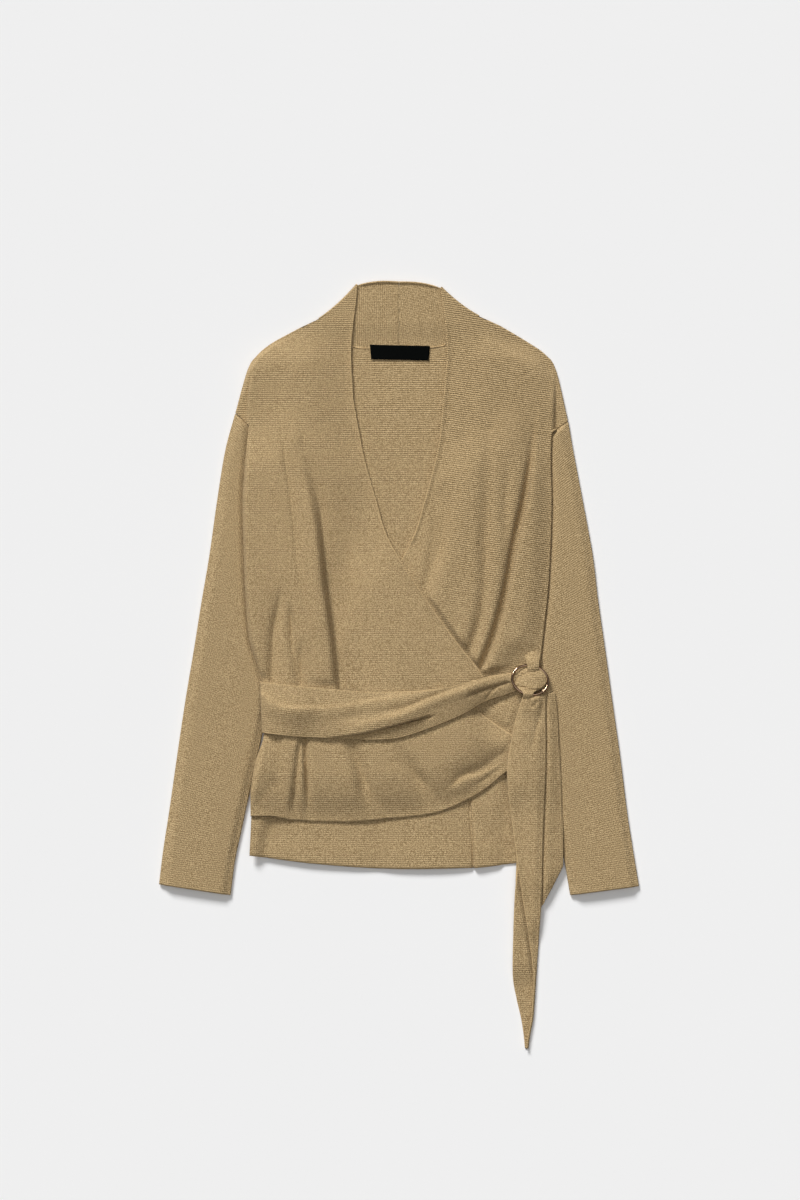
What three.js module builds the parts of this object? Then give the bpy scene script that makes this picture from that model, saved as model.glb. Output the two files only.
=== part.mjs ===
// Knitted wrap cardigan with a sash and a metal ring, laid flat and face up.
// Units are millimetres. X runs to the right as seen from above, Y towards the collar, Z up.
// The origin is under the middle of the garment's bounding box. "Right" and "left" in names
// are the wearer's, so the right front, which lies on top, is on the -X side.
import * as THREE from "three";

// Driving dimensions
const WALL = 1.8;
const GAP = 0.8;
const LAYER = WALL + GAP;
const SEAM = 0.3;
const SLEEVE_HOLLOW = 1.0;
const SLEEVE_THICK = 2 * WALL + SLEEVE_HOLLOW;
const SIDE_ROLL = 0.95;
const NECK_ROLL = LAYER / 2;
const NECK_DROP = 17.6;
const NECK_GAP = 0.9;
const NECK_SEAM_Y = 349;
const NECK_FOLD_BOW = 2.5;
const COLLAR_CROWN = 2;
const LABEL = { width: 66, height: 16, thick: 1.0, x: 1, y: 350 };
const RING = { x: 143.7, y: -17.2, z: 16.4, major: 20, minor: 16.4, wire: 2.8, turn: -13, tilt: 15 };

const KNIT = 0xab9671;
const KNIT_SHADE = 0xa38e69;
const BLACK = 0x0d0f0e;
const GOLD = 0xc9a25e;

// Side edges of the body, from the neck point down over the shoulder, the armhole seam and the
// side. A corner is a sharp change of direction.
const RIGHT_SIDE = [
  { x: -89, y: 380 },
  { x: -112, y: 367 },
  { x: -140, y: 352 },
  { x: -157, y: 338 },
  { x: -167, y: 322 },
  { x: -180, y: 276, corner: true },
  { x: -165, y: 262, corner: true },
  { x: -169, y: 224 },
  { x: -172, y: 180 },
  { x: -171, y: 136 },
  { x: -169, y: 81 },
  { x: -164, y: 26 },
  { x: -149, y: -24 },
  { x: -148, y: -75 },
  { x: -158, y: -108 },
  { x: -163, y: -139 },
  { x: -163, y: -167 },
  { x: -165, y: -210 },
];
const LEFT_SIDE = [
  { x: 89, y: 383 },
  { x: 113, y: 370 },
  { x: 142, y: 353 },
  { x: 162, y: 339 },
  { x: 173, y: 322 },
  { x: 186, y: 267, corner: true },
  { x: 168, y: 254, corner: true },
  { x: 167, y: 224 },
  { x: 168, y: 180 },
  { x: 167, y: 136 },
  { x: 164, y: 81 },
  { x: 158, y: 26 },
  { x: 153, y: -28 },
  { x: 156, y: -75 },
  { x: 161, y: -108 },
  { x: 163, y: -139 },
  { x: 164, y: -167 },
  { x: 165, y: -214 },
];
// Lower side of the left front, which is drawn up towards the ring
const LEFT_FRONT_SIDE = [
  ...LEFT_SIDE.slice(0, 13),
  { x: 156, y: -52 },
  { x: 158, y: -73 },
  { x: 161, y: -91 },
  { x: 162, y: -108 },
];

// Free front edges, row for row with the side edges, from the collar's top corner to the hem
const RIGHT_EDGE = [
  { x: -47, y: 418 },
  { x: -47.5, y: 397 },
  { x: -50.5, y: 371 },
  { x: -52.5, y: 346.5 },
  { x: -52, y: 325.5 },
  { x: -50, y: 290.5 },
  { x: -45, y: 262 },
  { x: -37.5, y: 224.5 },
  { x: -25, y: 180.5 },
  { x: -11, y: 136.5 },
  { x: 23, y: 81.5 },
  { x: 61.5, y: 26.5 },
  { x: 93.5, y: -16.5 },
  { x: 86, y: -47 },
  { x: 108, y: -67 },
  { x: 134, y: -83, corner: true },
  { x: 134, y: -107 },
];
const LEFT_EDGE = [
  { x: 47, y: 415 },
  { x: 48.5, y: 395 },
  { x: 50.5, y: 373 },
  { x: 52.5, y: 350 },
  { x: 52, y: 329 },
  { x: 47, y: 274 },
  { x: 44.5, y: 248 },
  { x: 40, y: 224.5 },
  { x: 28, y: 180.5 },
  { x: 14, y: 136.5 },
  { x: -17.5, y: 81.5 },
  { x: -51.5, y: 26.5 },
  { x: -84.5, y: -28.5 },
  { x: -113, y: -78 },
  { x: -132, y: -111 },
  { x: -148.5, y: -138.5 },
  { x: -155, y: -158 },
];

// How far each front hem hangs below a straight line, from the side (0) to the front edge (1)
const RIGHT_HEM = [
  { at: 0, drop: 0 },
  { at: 0.08, drop: 4.5 },
  { at: 0.14, drop: 12 },
  { at: 0.23, drop: 19.5 },
  { at: 0.39, drop: 29 },
  { at: 0.51, drop: 33 },
  { at: 0.64, drop: 37 },
  { at: 0.72, drop: 36 },
  { at: 0.81, drop: 29 },
  { at: 0.87, drop: 21.5 },
  { at: 0.95, drop: 7 },
  { at: 1, drop: 0 },
];
const LEFT_HEM = [
  { at: 0, drop: 0 },
  { at: 0.14, drop: -5 },
  { at: 0.27, drop: 12 },
  { at: 0.43, drop: 25 },
  { at: 0.66, drop: 22 },
  { at: 0.83, drop: 12 },
  { at: 1, drop: 0 },
];
const BACK_HEM = [
  { at: 0, drop: 0 },
  { at: 0.2, drop: 8 },
  { at: 0.45, drop: 13 },
  { at: 0.75, drop: 11 },
  { at: 0.85, drop: 7 },
  { at: 1, drop: 0 },
];

// Sleeves from the armhole seam to the cuff: outer edge, then inner edge
const RIGHT_SLEEVE = [
  { outX: -180.2, outY: 275.4, inX: -95, inY: 196 },
  { outX: -191, outY: 235, inX: -100, inY: 158 },
  { outX: -200, outY: 180, inX: -110, inY: 114 },
  { outX: -208.5, outY: 120, inX: -120.5, inY: 64 },
  { outX: -217, outY: 70, inX: -130, inY: 26 },
  { outX: -226, outY: 14, inX: -140, inY: -19 },
  { outX: -235, outY: -40, inX: -149.6, inY: -75 },
  { outX: -244, outY: -100, inX: -161, inY: -128 },
  { outX: -253, outY: -163, inX: -173, inY: -183 },
  { outX: -259.5, outY: -205, inX: -180, inY: -216 },
  { outX: -264, outY: -242, inX: -185, inY: -254 },
];
const LEFT_SLEEVE = [
  { outX: 186.2, outY: 266.4, inX: 93.5, inY: 198 },
  { outX: 191.5, outY: 235, inX: 99, inY: 158 },
  { outX: 202, outY: 180, inX: 109, inY: 114 },
  { outX: 213, outY: 120, inX: 121, inY: 64 },
  { outX: 219, outY: 70, inX: 131, inY: 26 },
  { outX: 227, outY: 14, inX: 143, inY: -19 },
  { outX: 234.5, outY: -40, inX: 157, inY: -75 },
  { outX: 243, outY: -100, inX: 167, inY: -128 },
  { outX: 251, outY: -163, inX: 175.5, inY: -183 },
  { outX: 257.5, outY: -205, inX: 181.5, inY: -216 },
  { outX: 264, outY: -244, inX: 188, inY: -254 },
];

// Sash across the waist, from the right side seam to the ring: top edge, then bottom edge
const SASH = [
  { topX: -152, topY: -19, lowX: -149.5, lowY: -75 },
  { topX: -110, topY: -24, lowX: -110, lowY: -79 },
  { topX: -64, topY: -28, lowX: -64, lowY: -81 },
  { topX: -32, topY: -30.5, lowX: -30, lowY: -82.5 },
  { topX: 1, topY: -30, lowX: 1, lowY: -80 },
  { topX: 34, topY: -28, lowX: 36, lowY: -68.5 },
  { topX: 63, topY: -22.5, lowX: 69, lowY: -54.5 },
  { topX: 94, topY: -14.5, lowX: 94, lowY: -40.5 },
  { topX: 115, topY: -11, lowX: 118, lowY: -32.5 },
  { topX: 131, topY: -9.5, lowX: 133, lowY: -27 },
  { topX: 143, topY: -10, lowX: 144, lowY: -24 },
];

// Long end of the sash, folded lengthwise with the fold at its +X side: left edge of the near
// layer, the fold, and left edge of the far layer
const TAIL_LONG = [
  { y: -33, near: 136.4, fold: 161, far: 139.7 },
  { y: -53, near: 130, fold: 160.8, far: 135 },
  { y: -78, near: 124, fold: 161, far: 130 },
  { y: -117, near: 118.7, fold: 160.8, far: 124 },
  { y: -164, near: 122.7, fold: 159, far: 125.4 },
  { y: -218, near: 130, fold: 157.5, far: 129 },
  { y: -255, near: 135.3, fold: 156.8, far: 127 },
  { y: -301, near: 142.7, fold: 154, far: 125.4 },
  { y: -342, near: 147.5, fold: 151.3, far: 125 },
  { y: -368, near: 146.6, fold: 149.6, far: 129.3 },
  { y: -388, near: 145.1, fold: 148.1, far: 133.9 },
  { y: -407, near: 141.7, fold: 144.7, far: 137 },
  { y: -422.4, near: 139.5, fold: 142.5, far: 138.5 },
];

// Short end of the sash, under the long one, cut off at a slant
const TAIL_SHORT = [
  { leftX: 155, leftY: -36, rightX: 170.5, rightY: -30 },
  { leftX: 149, leftY: -52, rightX: 173, rightY: -46 },
  { leftX: 144, leftY: -79, rightX: 175, rightY: -79 },
  { leftX: 140, leftY: -130, rightX: 177.7, rightY: -130 },
  { leftX: 137.5, leftY: -164, rightX: 179.3, rightY: -164 },
  { leftX: 135, leftY: -198, rightX: 180.2, rightY: -198 },
  { leftX: 134, leftY: -222, rightX: 180.2, rightY: -222, corner: true },
  { leftX: 137, leftY: -252, rightX: 166, rightY: -249 },
  { leftX: 143, leftY: -280, rightX: 148, rightY: -283 },
];

// Turn of the sash through the ring, from inside the ring over its lower wire
const SASH_TURN = [
  { x: 147, y: -9, z: 16.2, half: 8 },
  { x: 146.5, y: -12, z: 17.8, half: 11.5 },
  { x: 145.5, y: -17, z: 19.4, half: 13 },
  { x: 144, y: -23, z: 21, half: 9.5 },
  { x: 142, y: -27.5, z: 23, half: 5.2 },
  { x: 141.2, y: -32, z: 24, half: 4.6 },
  { x: 141, y: -37.5, z: 22, half: 4.8 },
];

// Short loop of cloth that holds the ring at its upper wire
const RING_TAB = [
  { x: 152, y: 10, z: 12.6, half: 5 },
  { x: 150.5, y: 5, z: 15.2, half: 5.6 },
  { x: 149, y: -1.4, z: 16.8, half: 6 },
  { x: 148.2, y: -6, z: 15.4, half: 5 },
];

// Folds, each along a line bent through three points. A ridge is high, and its two flanks
// have their own widths, so that one flank may be steep.
const RIGHT_FOLDS = [
  { x1: -128, y1: 262, x2: -120, y2: 120, x3: -110, y3: -20, wideL: 8, wideR: 7, high: 3.2 },
  { x1: -96, y1: 262, x2: -82, y2: 120, x3: -64, y3: -24, wideL: 8, wideR: 16, high: 2.8 },
  { x1: -152, y1: 240, x2: -154, y2: 120, x3: -140, y3: -10, wideL: 9, wideR: 10, high: 2.4 },
  { x1: 20, y1: 40, x2: 34, y2: 0, x3: 42, y3: -22, wideL: 12, wideR: 12, high: 1.6 },
  { x1: -106, y1: -84, x2: -112, y2: -125, x3: -116, y3: -172, wideL: 12, wideR: 6, high: 3.4 },
  { x1: -72, y1: -84, x2: -66, y2: -125, x3: -60, y3: -172, wideL: 14, wideR: 14, high: 2.2 },
  { x1: -36, y1: -84, x2: -20, y2: -120, x3: -10, y3: -160, wideL: 14, wideR: 14, high: 1.8 },
  { x1: 60, y1: -118, x2: 88, y2: -106, x3: 122, y3: -90, wideL: 7, wideR: 13, high: 3.6 },
  { x1: 62, y1: -140, x2: 96, y2: -124, x3: 124, y3: -108, wideL: 7, wideR: 7, high: 2.2 },
];
const LEFT_FOLDS = [
  { x1: 158, y1: 280, x2: 146, y2: 130, x3: 100, y3: 12, wideL: 9, wideR: 16, high: 4.2 },
  { x1: 112, y1: 240, x2: 98, y2: 120, x3: 66, y3: 36, wideL: 14, wideR: 12, high: 2.4 },
  { x1: 62, y1: 180, x2: 52, y2: 110, x3: 42, y3: 74, wideL: 10, wideR: 12, high: 1.8 },
  { x1: 110, y1: -38, x2: 116, y2: -50, x3: 122, y3: -66, wideL: 7, wideR: 9, high: 2.2 },
];
const SASH_FOLDS = [
  { x1: -150, y1: -36, x2: -110, y2: -50, x3: -20, y3: -42, wideL: 9, wideR: 16, high: 2.2 },
  { x1: -70, y1: -76, x2: -10, y2: -66, x3: 50, y3: -44, wideL: 12, wideR: 5, high: 2.4 },
  { x1: 40, y1: -36, x2: 80, y2: -24, x3: 120, y3: -16, wideL: 5, wideR: 5, high: 2.0 },
];

// A smooth curve through one column of a table, at a running row number
function along(rows, column, at) {
  const last = rows.length - 1;
  const i = Math.min(Math.max(Math.floor(at), 0), last - 1);
  const t = at - i;
  const value = (k) => rows[k][column];
  const forward = (k) => value(k + 1) - value(k);
  const startSlope = i === 0 || rows[i].corner ? forward(i) : (value(i + 1) - value(i - 1)) / 2;
  const endIsEnd = i + 1 === last || rows[i + 1].corner;
  const endSlope = endIsEnd ? forward(i) : (value(i + 2) - value(i)) / 2;
  const t2 = t * t;
  const t3 = t2 * t;
  const start = (2 * t3 - 3 * t2 + 1) * value(i) + (t3 - 2 * t2 + t) * startSlope;
  return start + (3 * t2 - 2 * t3) * value(i + 1) + (t3 - t2) * endSlope;
}

// The drop column of a hem table at a fraction of the hem's width
function dropAt(rows, fraction) {
  let i = 0;
  while (i < rows.length - 2 && rows[i + 1].at < fraction) i += 1;
  const t = (fraction - rows[i].at) / (rows[i + 1].at - rows[i].at);
  return along(rows, "drop", i + t);
}

const mix = (a, b, t) => a + (b - a) * t;
const clamp01 = (t) => Math.min(Math.max(t, 0), 1);

function ease(t) {
  const c = clamp01(t);
  return c * c * (3 - 2 * c);
}

// Distance to the outline of a piece, positive inside it
function signedDistance(outline, x, y) {
  let nearest = Infinity;
  let inside = false;
  for (let i = 0, j = outline.length - 1; i < outline.length; j = i, i += 1) {
    const a = outline[j];
    const b = outline[i];
    const dx = b.x - a.x;
    const dy = b.y - a.y;
    const t = clamp01(((x - a.x) * dx + (y - a.y) * dy) / (dx * dx + dy * dy || 1));
    nearest = Math.min(nearest, Math.hypot(x - a.x - dx * t, y - a.y - dy * t));
    if (a.y > y !== b.y > y && x < a.x + (dx * (y - a.y)) / dy) inside = !inside;
  }
  return inside ? nearest : -nearest;
}

// 1 on a piece and just outside it, falling to 0 at the end of the ramp around it
function cover(layer, x, y) {
  return ease(1 + (signedDistance(layer.outline, x, y) + layer.margin) / layer.ramp);
}

function tableOutline(rows, ax, ay, bx, by) {
  const down = rows.map((row) => ({ x: row[ax], y: row[ay] }));
  const up = rows.map((row) => ({ x: row[bx], y: row[by] })).reverse();
  return [...down, ...up];
}

function hemOutline(start, end, hem) {
  const point = (row) => ({
    x: mix(start.x, end.x, row.at),
    y: mix(start.y, end.y, row.at) - row.drop,
  });
  return hem.map(point);
}

function panelOutline(side, edge, hem) {
  const bottom = hemOutline(side[side.length - 1], edge[edge.length - 1], hem);
  return [...side, ...bottom.slice(1, -1), ...[...edge].reverse()];
}

// What lies under the body. The fold is the line, from the shoulder down, where the body turns
// over the sleeve.
const RIGHT_SLEEVE_LAYER = {
  outline: tableOutline(RIGHT_SLEEVE, "outX", "outY", "inX", "inY"),
  height: SLEEVE_THICK + GAP,
  fold: [RIGHT_SIDE[3], ...RIGHT_SIDE.slice(6)],
  towards: 1,
};
const LEFT_SLEEVE_LAYER = {
  outline: tableOutline(LEFT_SLEEVE, "outX", "outY", "inX", "inY"),
  height: SLEEVE_THICK + GAP,
  fold: [LEFT_SIDE[3], ...LEFT_SIDE.slice(6)],
  towards: -1,
};
const BACK_LAYER = {
  outline: [...RIGHT_SIDE, ...[...LEFT_SIDE].reverse(), { x: 47, y: 415 }, { x: -47, y: 418 }],
  height: LAYER,
  margin: 14,
  ramp: 40,
};
const LEFT_FRONT_LAYER = {
  outline: panelOutline(LEFT_FRONT_SIDE, LEFT_EDGE, LEFT_HEM),
  height: LAYER,
  margin: 20,
  ramp: 40,
};
const RIGHT_FRONT_LAYER = {
  outline: panelOutline(RIGHT_SIDE.slice(0, 17), RIGHT_EDGE, RIGHT_HEM),
  height: LAYER,
  margin: 10,
  ramp: 34,
};
const SASH_LAYER = {
  outline: tableOutline(SASH, "topX", "topY", "lowX", "lowY"),
  height: LAYER,
  margin: 6,
  ramp: 14,
};
const TAIL_SHORT_LAYER = {
  outline: tableOutline(TAIL_SHORT, "leftX", "leftY", "rightX", "rightY"),
  height: LAYER,
  margin: 5,
  ramp: 20,
};

// x of the side fold at a given y, for the step where the body folds over the sleeve
function foldX(rows, y) {
  let i = 0;
  while (i < rows.length - 2 && rows[i + 1].y > y) i += 1;
  const t = clamp01((rows[i].y - y) / (rows[i].y - rows[i + 1].y));
  return mix(rows[i].x, rows[i + 1].x, t);
}

// The cap of the shoulder, outside the fold and above the sleeve, stays low
const CAP_BOTTOM = 250;
const BELOW_CAP = 60;
function sleeveLift(layer, x, y, reach) {
  const slack = y < CAP_BOTTOM ? BELOW_CAP : 0;
  const inward = (x - foldX(layer.fold, y)) * layer.towards + slack;
  return layer.height * cover({ ...layer, ...reach }, x, y) * ease(1 + inward / reach.step);
}

// Height of a piece's mid-surface over the layers that lie under it. The back, with none under
// it but the sleeves, comes down beside them sooner than the fronts do.
const BACK_REACH = { margin: 17, ramp: 14, step: 3 };
const FRONT_REACH = { margin: 17, ramp: 44, step: 12 };
function heightOver(layers, x, y) {
  const reach = layers.length > 0 ? FRONT_REACH : BACK_REACH;
  let z = WALL / 2;
  z += sleeveLift(RIGHT_SLEEVE_LAYER, x, y, reach);
  z += sleeveLift(LEFT_SLEEVE_LAYER, x, y, reach);
  for (const layer of layers) z += layer.height * cover(layer, x, y);
  return z;
}

const UNDER_LEFT_FRONT = [BACK_LAYER];
const UNDER_RIGHT_FRONT = [BACK_LAYER, LEFT_FRONT_LAYER];
const UNDER_SASH = [BACK_LAYER, LEFT_FRONT_LAYER, RIGHT_FRONT_LAYER];
const UNDER_TAIL_LONG = [...UNDER_SASH, TAIL_SHORT_LAYER];

// Sum of the folds at a point
const FOLD_SAMPLES = 10;
const FOLD_START = 0.25;
const FOLD_RISE = 0.3;
function foldHeight(folds, x, y) {
  let sum = 0;
  for (const f of folds) {
    let best = Infinity;
    let side = 1;
    let where = 0;
    for (let k = 0; k < FOLD_SAMPLES; k += 1) {
      const a = foldPoint(f, k / FOLD_SAMPLES);
      const b = foldPoint(f, (k + 1) / FOLD_SAMPLES);
      const dx = b.x - a.x;
      const dy = b.y - a.y;
      const t = clamp01(((x - a.x) * dx + (y - a.y) * dy) / (dx * dx + dy * dy));
      const d = Math.hypot(x - a.x - dx * t, y - a.y - dy * t);
      if (d < best) {
        best = d;
        side = dx * (y - a.y) - dy * (x - a.x);
        where = (k + t) / FOLD_SAMPLES;
      }
    }
    const wide = side < 0 ? f.wideL : f.wideR;
    const fade = mix(FOLD_START, 1, ease(where / FOLD_RISE));
    sum += f.high * fade * Math.exp(-((best / wide) ** 2));
  }
  return sum;
}

function foldPoint(f, t) {
  const bend = 2 * t * (1 - t);
  const midX = 2 * f.x2 - (f.x1 + f.x3) / 2;
  const midY = 2 * f.y2 - (f.y1 + f.y3) / 2;
  return {
    x: (1 - t) * (1 - t) * f.x1 + bend * midX + t * t * f.x3,
    y: (1 - t) * (1 - t) * f.y1 + bend * midY + t * t * f.y3,
  };
}

// A closed wall of cloth from rows of mid-surface points. Where it wraps, each row is a loop.
function clothWall(grid, thick, wraps) {
  const rows = grid.length;
  const columns = grid[0].length;
  const left = (j) => (wraps ? (j + columns - 1) % columns : Math.max(j - 1, 0));
  const right = (j) => (wraps ? (j + 1) % columns : Math.min(j + 1, columns - 1));
  const points = [];
  for (const sign of [1, -1]) {
    for (let i = 0; i < rows; i += 1) {
      for (let j = 0; j < columns; j += 1) {
        const across = grid[i][right(j)].clone().sub(grid[i][left(j)]);
        const down = grid[Math.min(i + 1, rows - 1)][j].clone().sub(grid[Math.max(i - 1, 0)][j]);
        const normal = down.cross(across).normalize();
        points.push(grid[i][j].clone().addScaledVector(normal, (sign * thick) / 2));
      }
    }
  }
  const faces = [];
  const at = (side, i, j) => side * rows * columns + i * columns + (j % columns);
  const quad = (a, b, c, d) => faces.push(a, b, c, a, c, d);
  const spans = wraps ? columns : columns - 1;
  for (let i = 0; i < rows - 1; i += 1) {
    for (let j = 0; j < spans; j += 1) {
      quad(at(0, i, j), at(0, i + 1, j), at(0, i + 1, j + 1), at(0, i, j + 1));
      quad(at(1, i, j), at(1, i, j + 1), at(1, i + 1, j + 1), at(1, i + 1, j));
    }
    if (!wraps) {
      quad(at(0, i, 0), at(1, i, 0), at(1, i + 1, 0), at(0, i + 1, 0));
      const e = columns - 1;
      quad(at(0, i, e), at(0, i + 1, e), at(1, i + 1, e), at(1, i, e));
    }
  }
  const b = rows - 1;
  for (let j = 0; j < spans; j += 1) {
    quad(at(0, 0, j), at(0, 0, j + 1), at(1, 0, j + 1), at(1, 0, j));
    quad(at(0, b, j), at(1, b, j), at(1, b, j + 1), at(0, b, j + 1));
  }
  return closedGeometry(points, faces);
}

// Faces are turned outwards if the volume they enclose comes out negative
function closedGeometry(points, faces) {
  let volume = 0;
  for (let k = 0; k < faces.length; k += 3) {
    const [a, b, c] = [points[faces[k]], points[faces[k + 1]], points[faces[k + 2]]];
    volume += a.dot(b.clone().cross(c));
  }
  if (volume < 0) faces.reverse();
  const geometry = new THREE.BufferGeometry();
  const flat = points.flatMap((p) => [p.x, p.y, p.z]);
  geometry.setAttribute("position", new THREE.Float32BufferAttribute(flat, 3));
  geometry.setIndex(faces);
  geometry.computeVertexNormals();
  return geometry;
}

function clothMesh(name, geometry, colour) {
  const material = new THREE.MeshStandardMaterial({ color: colour, roughness: 0.95, metalness: 0 });
  const mesh = new THREE.Mesh(geometry, material);
  mesh.name = name;
  return mesh;
}

// Distances from the side edge of a front: close together round the rolled side, then spread
const ROLL_ANGLES = [90, 50, 0];
function frontColumns(count, bias) {
  const rolled = ROLL_ANGLES.map((angle) => ({
    roll: WALL / 2 + SIDE_ROLL * (1 - Math.sin(THREE.MathUtils.degToRad(angle))),
    share: 0,
  }));
  const rest = [];
  for (let k = 1; k <= count; k += 1) rest.push({ roll: 0, share: (k / count) ** bias });
  return [...rolled, ...rest];
}

// How far the rolled side has dropped at a distance from the side's outer edge
function rollDrop(distance, radius) {
  const inward = Math.min(Math.max(distance - WALL / 2, 0), radius);
  return radius - Math.sqrt(radius * radius - (radius - inward) ** 2);
}

function columnAt(column, width) {
  if (column.share === 0) return column.roll;
  const start = WALL / 2 + SIDE_ROLL;
  return start + (width - start) * column.share;
}

// One row of a front, between a point of its side and a point of its free edge
function frontRow(start, end, sag, columns, rolled, heightAt) {
  const width = Math.hypot(end.x - start.x, end.y - start.y);
  return columns.map((column) => {
    const distance = rolled > 0 ? columnAt(column, width) : columnAt(column, width) - WALL / 2;
    const u = Math.min(distance / width, 1);
    const x = mix(start.x, end.x, u);
    const y = mix(start.y, end.y, u) - sag(u);
    return new THREE.Vector3(x, y, heightAt(x, y) - rolled * rollDrop(distance, SIDE_ROLL));
  });
}

function neckSeam(side, t) {
  return {
    x: side[0].x * t,
    y: mix(NECK_SEAM_Y, side[0].y, t) - NECK_DROP * Math.sin(Math.PI * t ** 1.3),
  };
}

// Half of the collar behind the neck, inside up, from the centre back to the neck fold
const COLLAR_ROWS = 7;
const COLLAR_TOP = 421;
function collarRows(side, edge, sign, columns, foldRow) {
  const flat = () => WALL / 2;
  const last = frontRow(side[0], edge[0], () => 0, columns, 0, flat);
  const rows = [];
  for (let k = 0; k < COLLAR_ROWS; k += 1) {
    const t = k / COLLAR_ROWS;
    const seam = neckSeam(side, t);
    const top = {
      x: edge[0].x * t,
      y: mix(COLLAR_TOP, edge[0].y, t) + COLLAR_CROWN * Math.sin(Math.PI * t),
    };
    seam.x += (sign * SEAM * (1 - t)) / 2;
    top.x += (sign * SEAM * (1 - t)) / 2;
    const row = frontRow(seam, top, () => 0, columns, 0, flat);
    rows.push(row.map((p, j) => {
      const shift = foldRow[j].clone().sub(last[j]).setZ(0);
      return p.addScaledVector(shift, t ** 3);
    }));
  }
  return rows;
}

// Rows round the neck fold, from the layer behind to the layer in front
const FOLD_ANGLES = [-90, -50, 0, 50, 90];
function neckFoldRows(side, edge, columns) {
  const line = new THREE.Vector3(edge[0].x - side[0].x, edge[0].y - side[0].y, 0).normalize();
  const out = new THREE.Vector3(-line.y, line.x, 0);
  if (out.y < 0) out.negate();
  const bow = (u) => NECK_FOLD_BOW * 4 * u * (1 - u);
  const base = frontRow(side[0], edge[0], bow, columns, 1, () => 0);
  return FOLD_ANGLES.map((angle) => {
    const turn = THREE.MathUtils.degToRad(angle);
    const reach = NECK_ROLL * (Math.cos(turn) - 1) - WALL / 2;
    const lift = WALL / 2 + NECK_ROLL * (1 + Math.sin(turn));
    const front = (1 + Math.sin(turn)) / 2;
    return base.map((p) => {
      const point = p.clone().addScaledVector(out, reach);
      point.z = lift + p.z * front;
      return point;
    });
  });
}

// A front with its half of the collar, as one cut piece
const ROWS_PER_STEP = 2;
const HEM_STARTS = 12;
function frontGrid(front) {
  const { side, edge, hem, sign, columns, heightAt } = front;
  const last = side.length - 1;
  const fold = neckFoldRows(side, edge, columns);
  const rows = [...collarRows(side, edge, sign, columns, fold[0]), ...fold];
  for (let k = 1; k <= last * ROWS_PER_STEP; k += 1) {
    const v = k / ROWS_PER_STEP;
    const start = { x: along(side, "x", v), y: along(side, "y", v) };
    const end = { x: along(edge, "x", v), y: along(edge, "y", v) };
    const share = ease((v - HEM_STARTS) / (last - HEM_STARTS));
    const sag = (u) => share * dropAt(hem, u);
    rows.push(frontRow(start, end, sag, columns, 1, heightAt));
  }
  return rows;
}

function rightFrontHeight(x, y) {
  const free = 1 - cover(SASH_LAYER, x, y);
  return heightOver(UNDER_RIGHT_FRONT, x, y) + free * foldHeight(RIGHT_FOLDS, x, y);
}

function leftFrontHeight(x, y) {
  const free = (1 - cover(RIGHT_FRONT_LAYER, x, y)) * (1 - cover(SASH_LAYER, x, y));
  const tails = 1 - cover(TAIL_SHORT_LAYER, x, y);
  return heightOver(UNDER_LEFT_FRONT, x, y) + free * tails * foldHeight(LEFT_FOLDS, x, y);
}

function makeRightFront() {
  const grid = frontGrid({
    side: RIGHT_SIDE.slice(0, 17),
    edge: RIGHT_EDGE,
    hem: RIGHT_HEM,
    sign: -1,
    columns: frontColumns(18, 1.15),
    heightAt: rightFrontHeight,
  });
  return clothMesh("front_right", clothWall(grid, WALL, false), KNIT);
}

function makeLeftFront() {
  const grid = frontGrid({
    side: LEFT_FRONT_SIDE,
    edge: LEFT_EDGE,
    hem: LEFT_HEM,
    sign: 1,
    columns: frontColumns(15, 1.05),
    heightAt: leftFrontHeight,
  });
  return clothMesh("front_left", clothWall(grid, WALL, false), KNIT);
}

// The back: its top row follows the neck seam, and its sides and shoulders roll up to the fronts
const BACK_COLUMNS = 13;
const NECK_FADES = 5;
const ROLL_FADES = 13;
function makeBack() {
  const last = RIGHT_SIDE.length - 1;
  const inner = [];
  for (let k = 1; k < BACK_COLUMNS; k += 1) inner.push(k / BACK_COLUMNS);
  const grid = [];
  for (let k = 0; k <= last * ROWS_PER_STEP; k += 1) {
    const v = k / ROWS_PER_STEP;
    const start = { x: along(RIGHT_SIDE, "x", v), y: along(RIGHT_SIDE, "y", v) };
    const end = { x: along(LEFT_SIDE, "x", v), y: along(LEFT_SIDE, "y", v) };
    const width = Math.hypot(end.x - start.x, end.y - start.y);
    const neckShare = 1 - ease(v / NECK_FADES);
    const hemShare = ease((v - HEM_STARTS) / (last - HEM_STARTS));
    const rolls = frontColumns(0, 1).map((column) => column.roll / width);
    const shares = [...rolls, ...inner, ...rolls.map((share) => 1 - share).reverse()];
    const rolled = 1 - ease((v - ROLL_FADES) / 2);
    const row = { start, end, width, neckShare, hemShare, rolled };
    grid.push(shares.map((u) => backPoint(row, u)));
  }
  return clothMesh("back_panel", clothWall(grid, WALL, false), KNIT_SHADE);
}

function backPoint(row, u) {
  const { start, end, width, neckShare, hemShare, rolled } = row;
  const t = Math.abs(2 * u - 1);
  const seam = neckSeam(u < 0.5 ? RIGHT_SIDE : LEFT_SIDE, t);
  const chordY = mix(RIGHT_SIDE[0].y, LEFT_SIDE[0].y, u);
  const x = mix(start.x, end.x, u);
  const dip = (seam.y - chordY - NECK_GAP) * neckShare;
  const y = mix(start.y, end.y, u) + dip - hemShare * dropAt(BACK_HEM, u);
  const edge = Math.min(u, 1 - u) * width;
  const z = heightOver([], x, y) + rolled * rollDrop(edge, SIDE_ROLL);
  return new THREE.Vector3(x, y, z);
}

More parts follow.
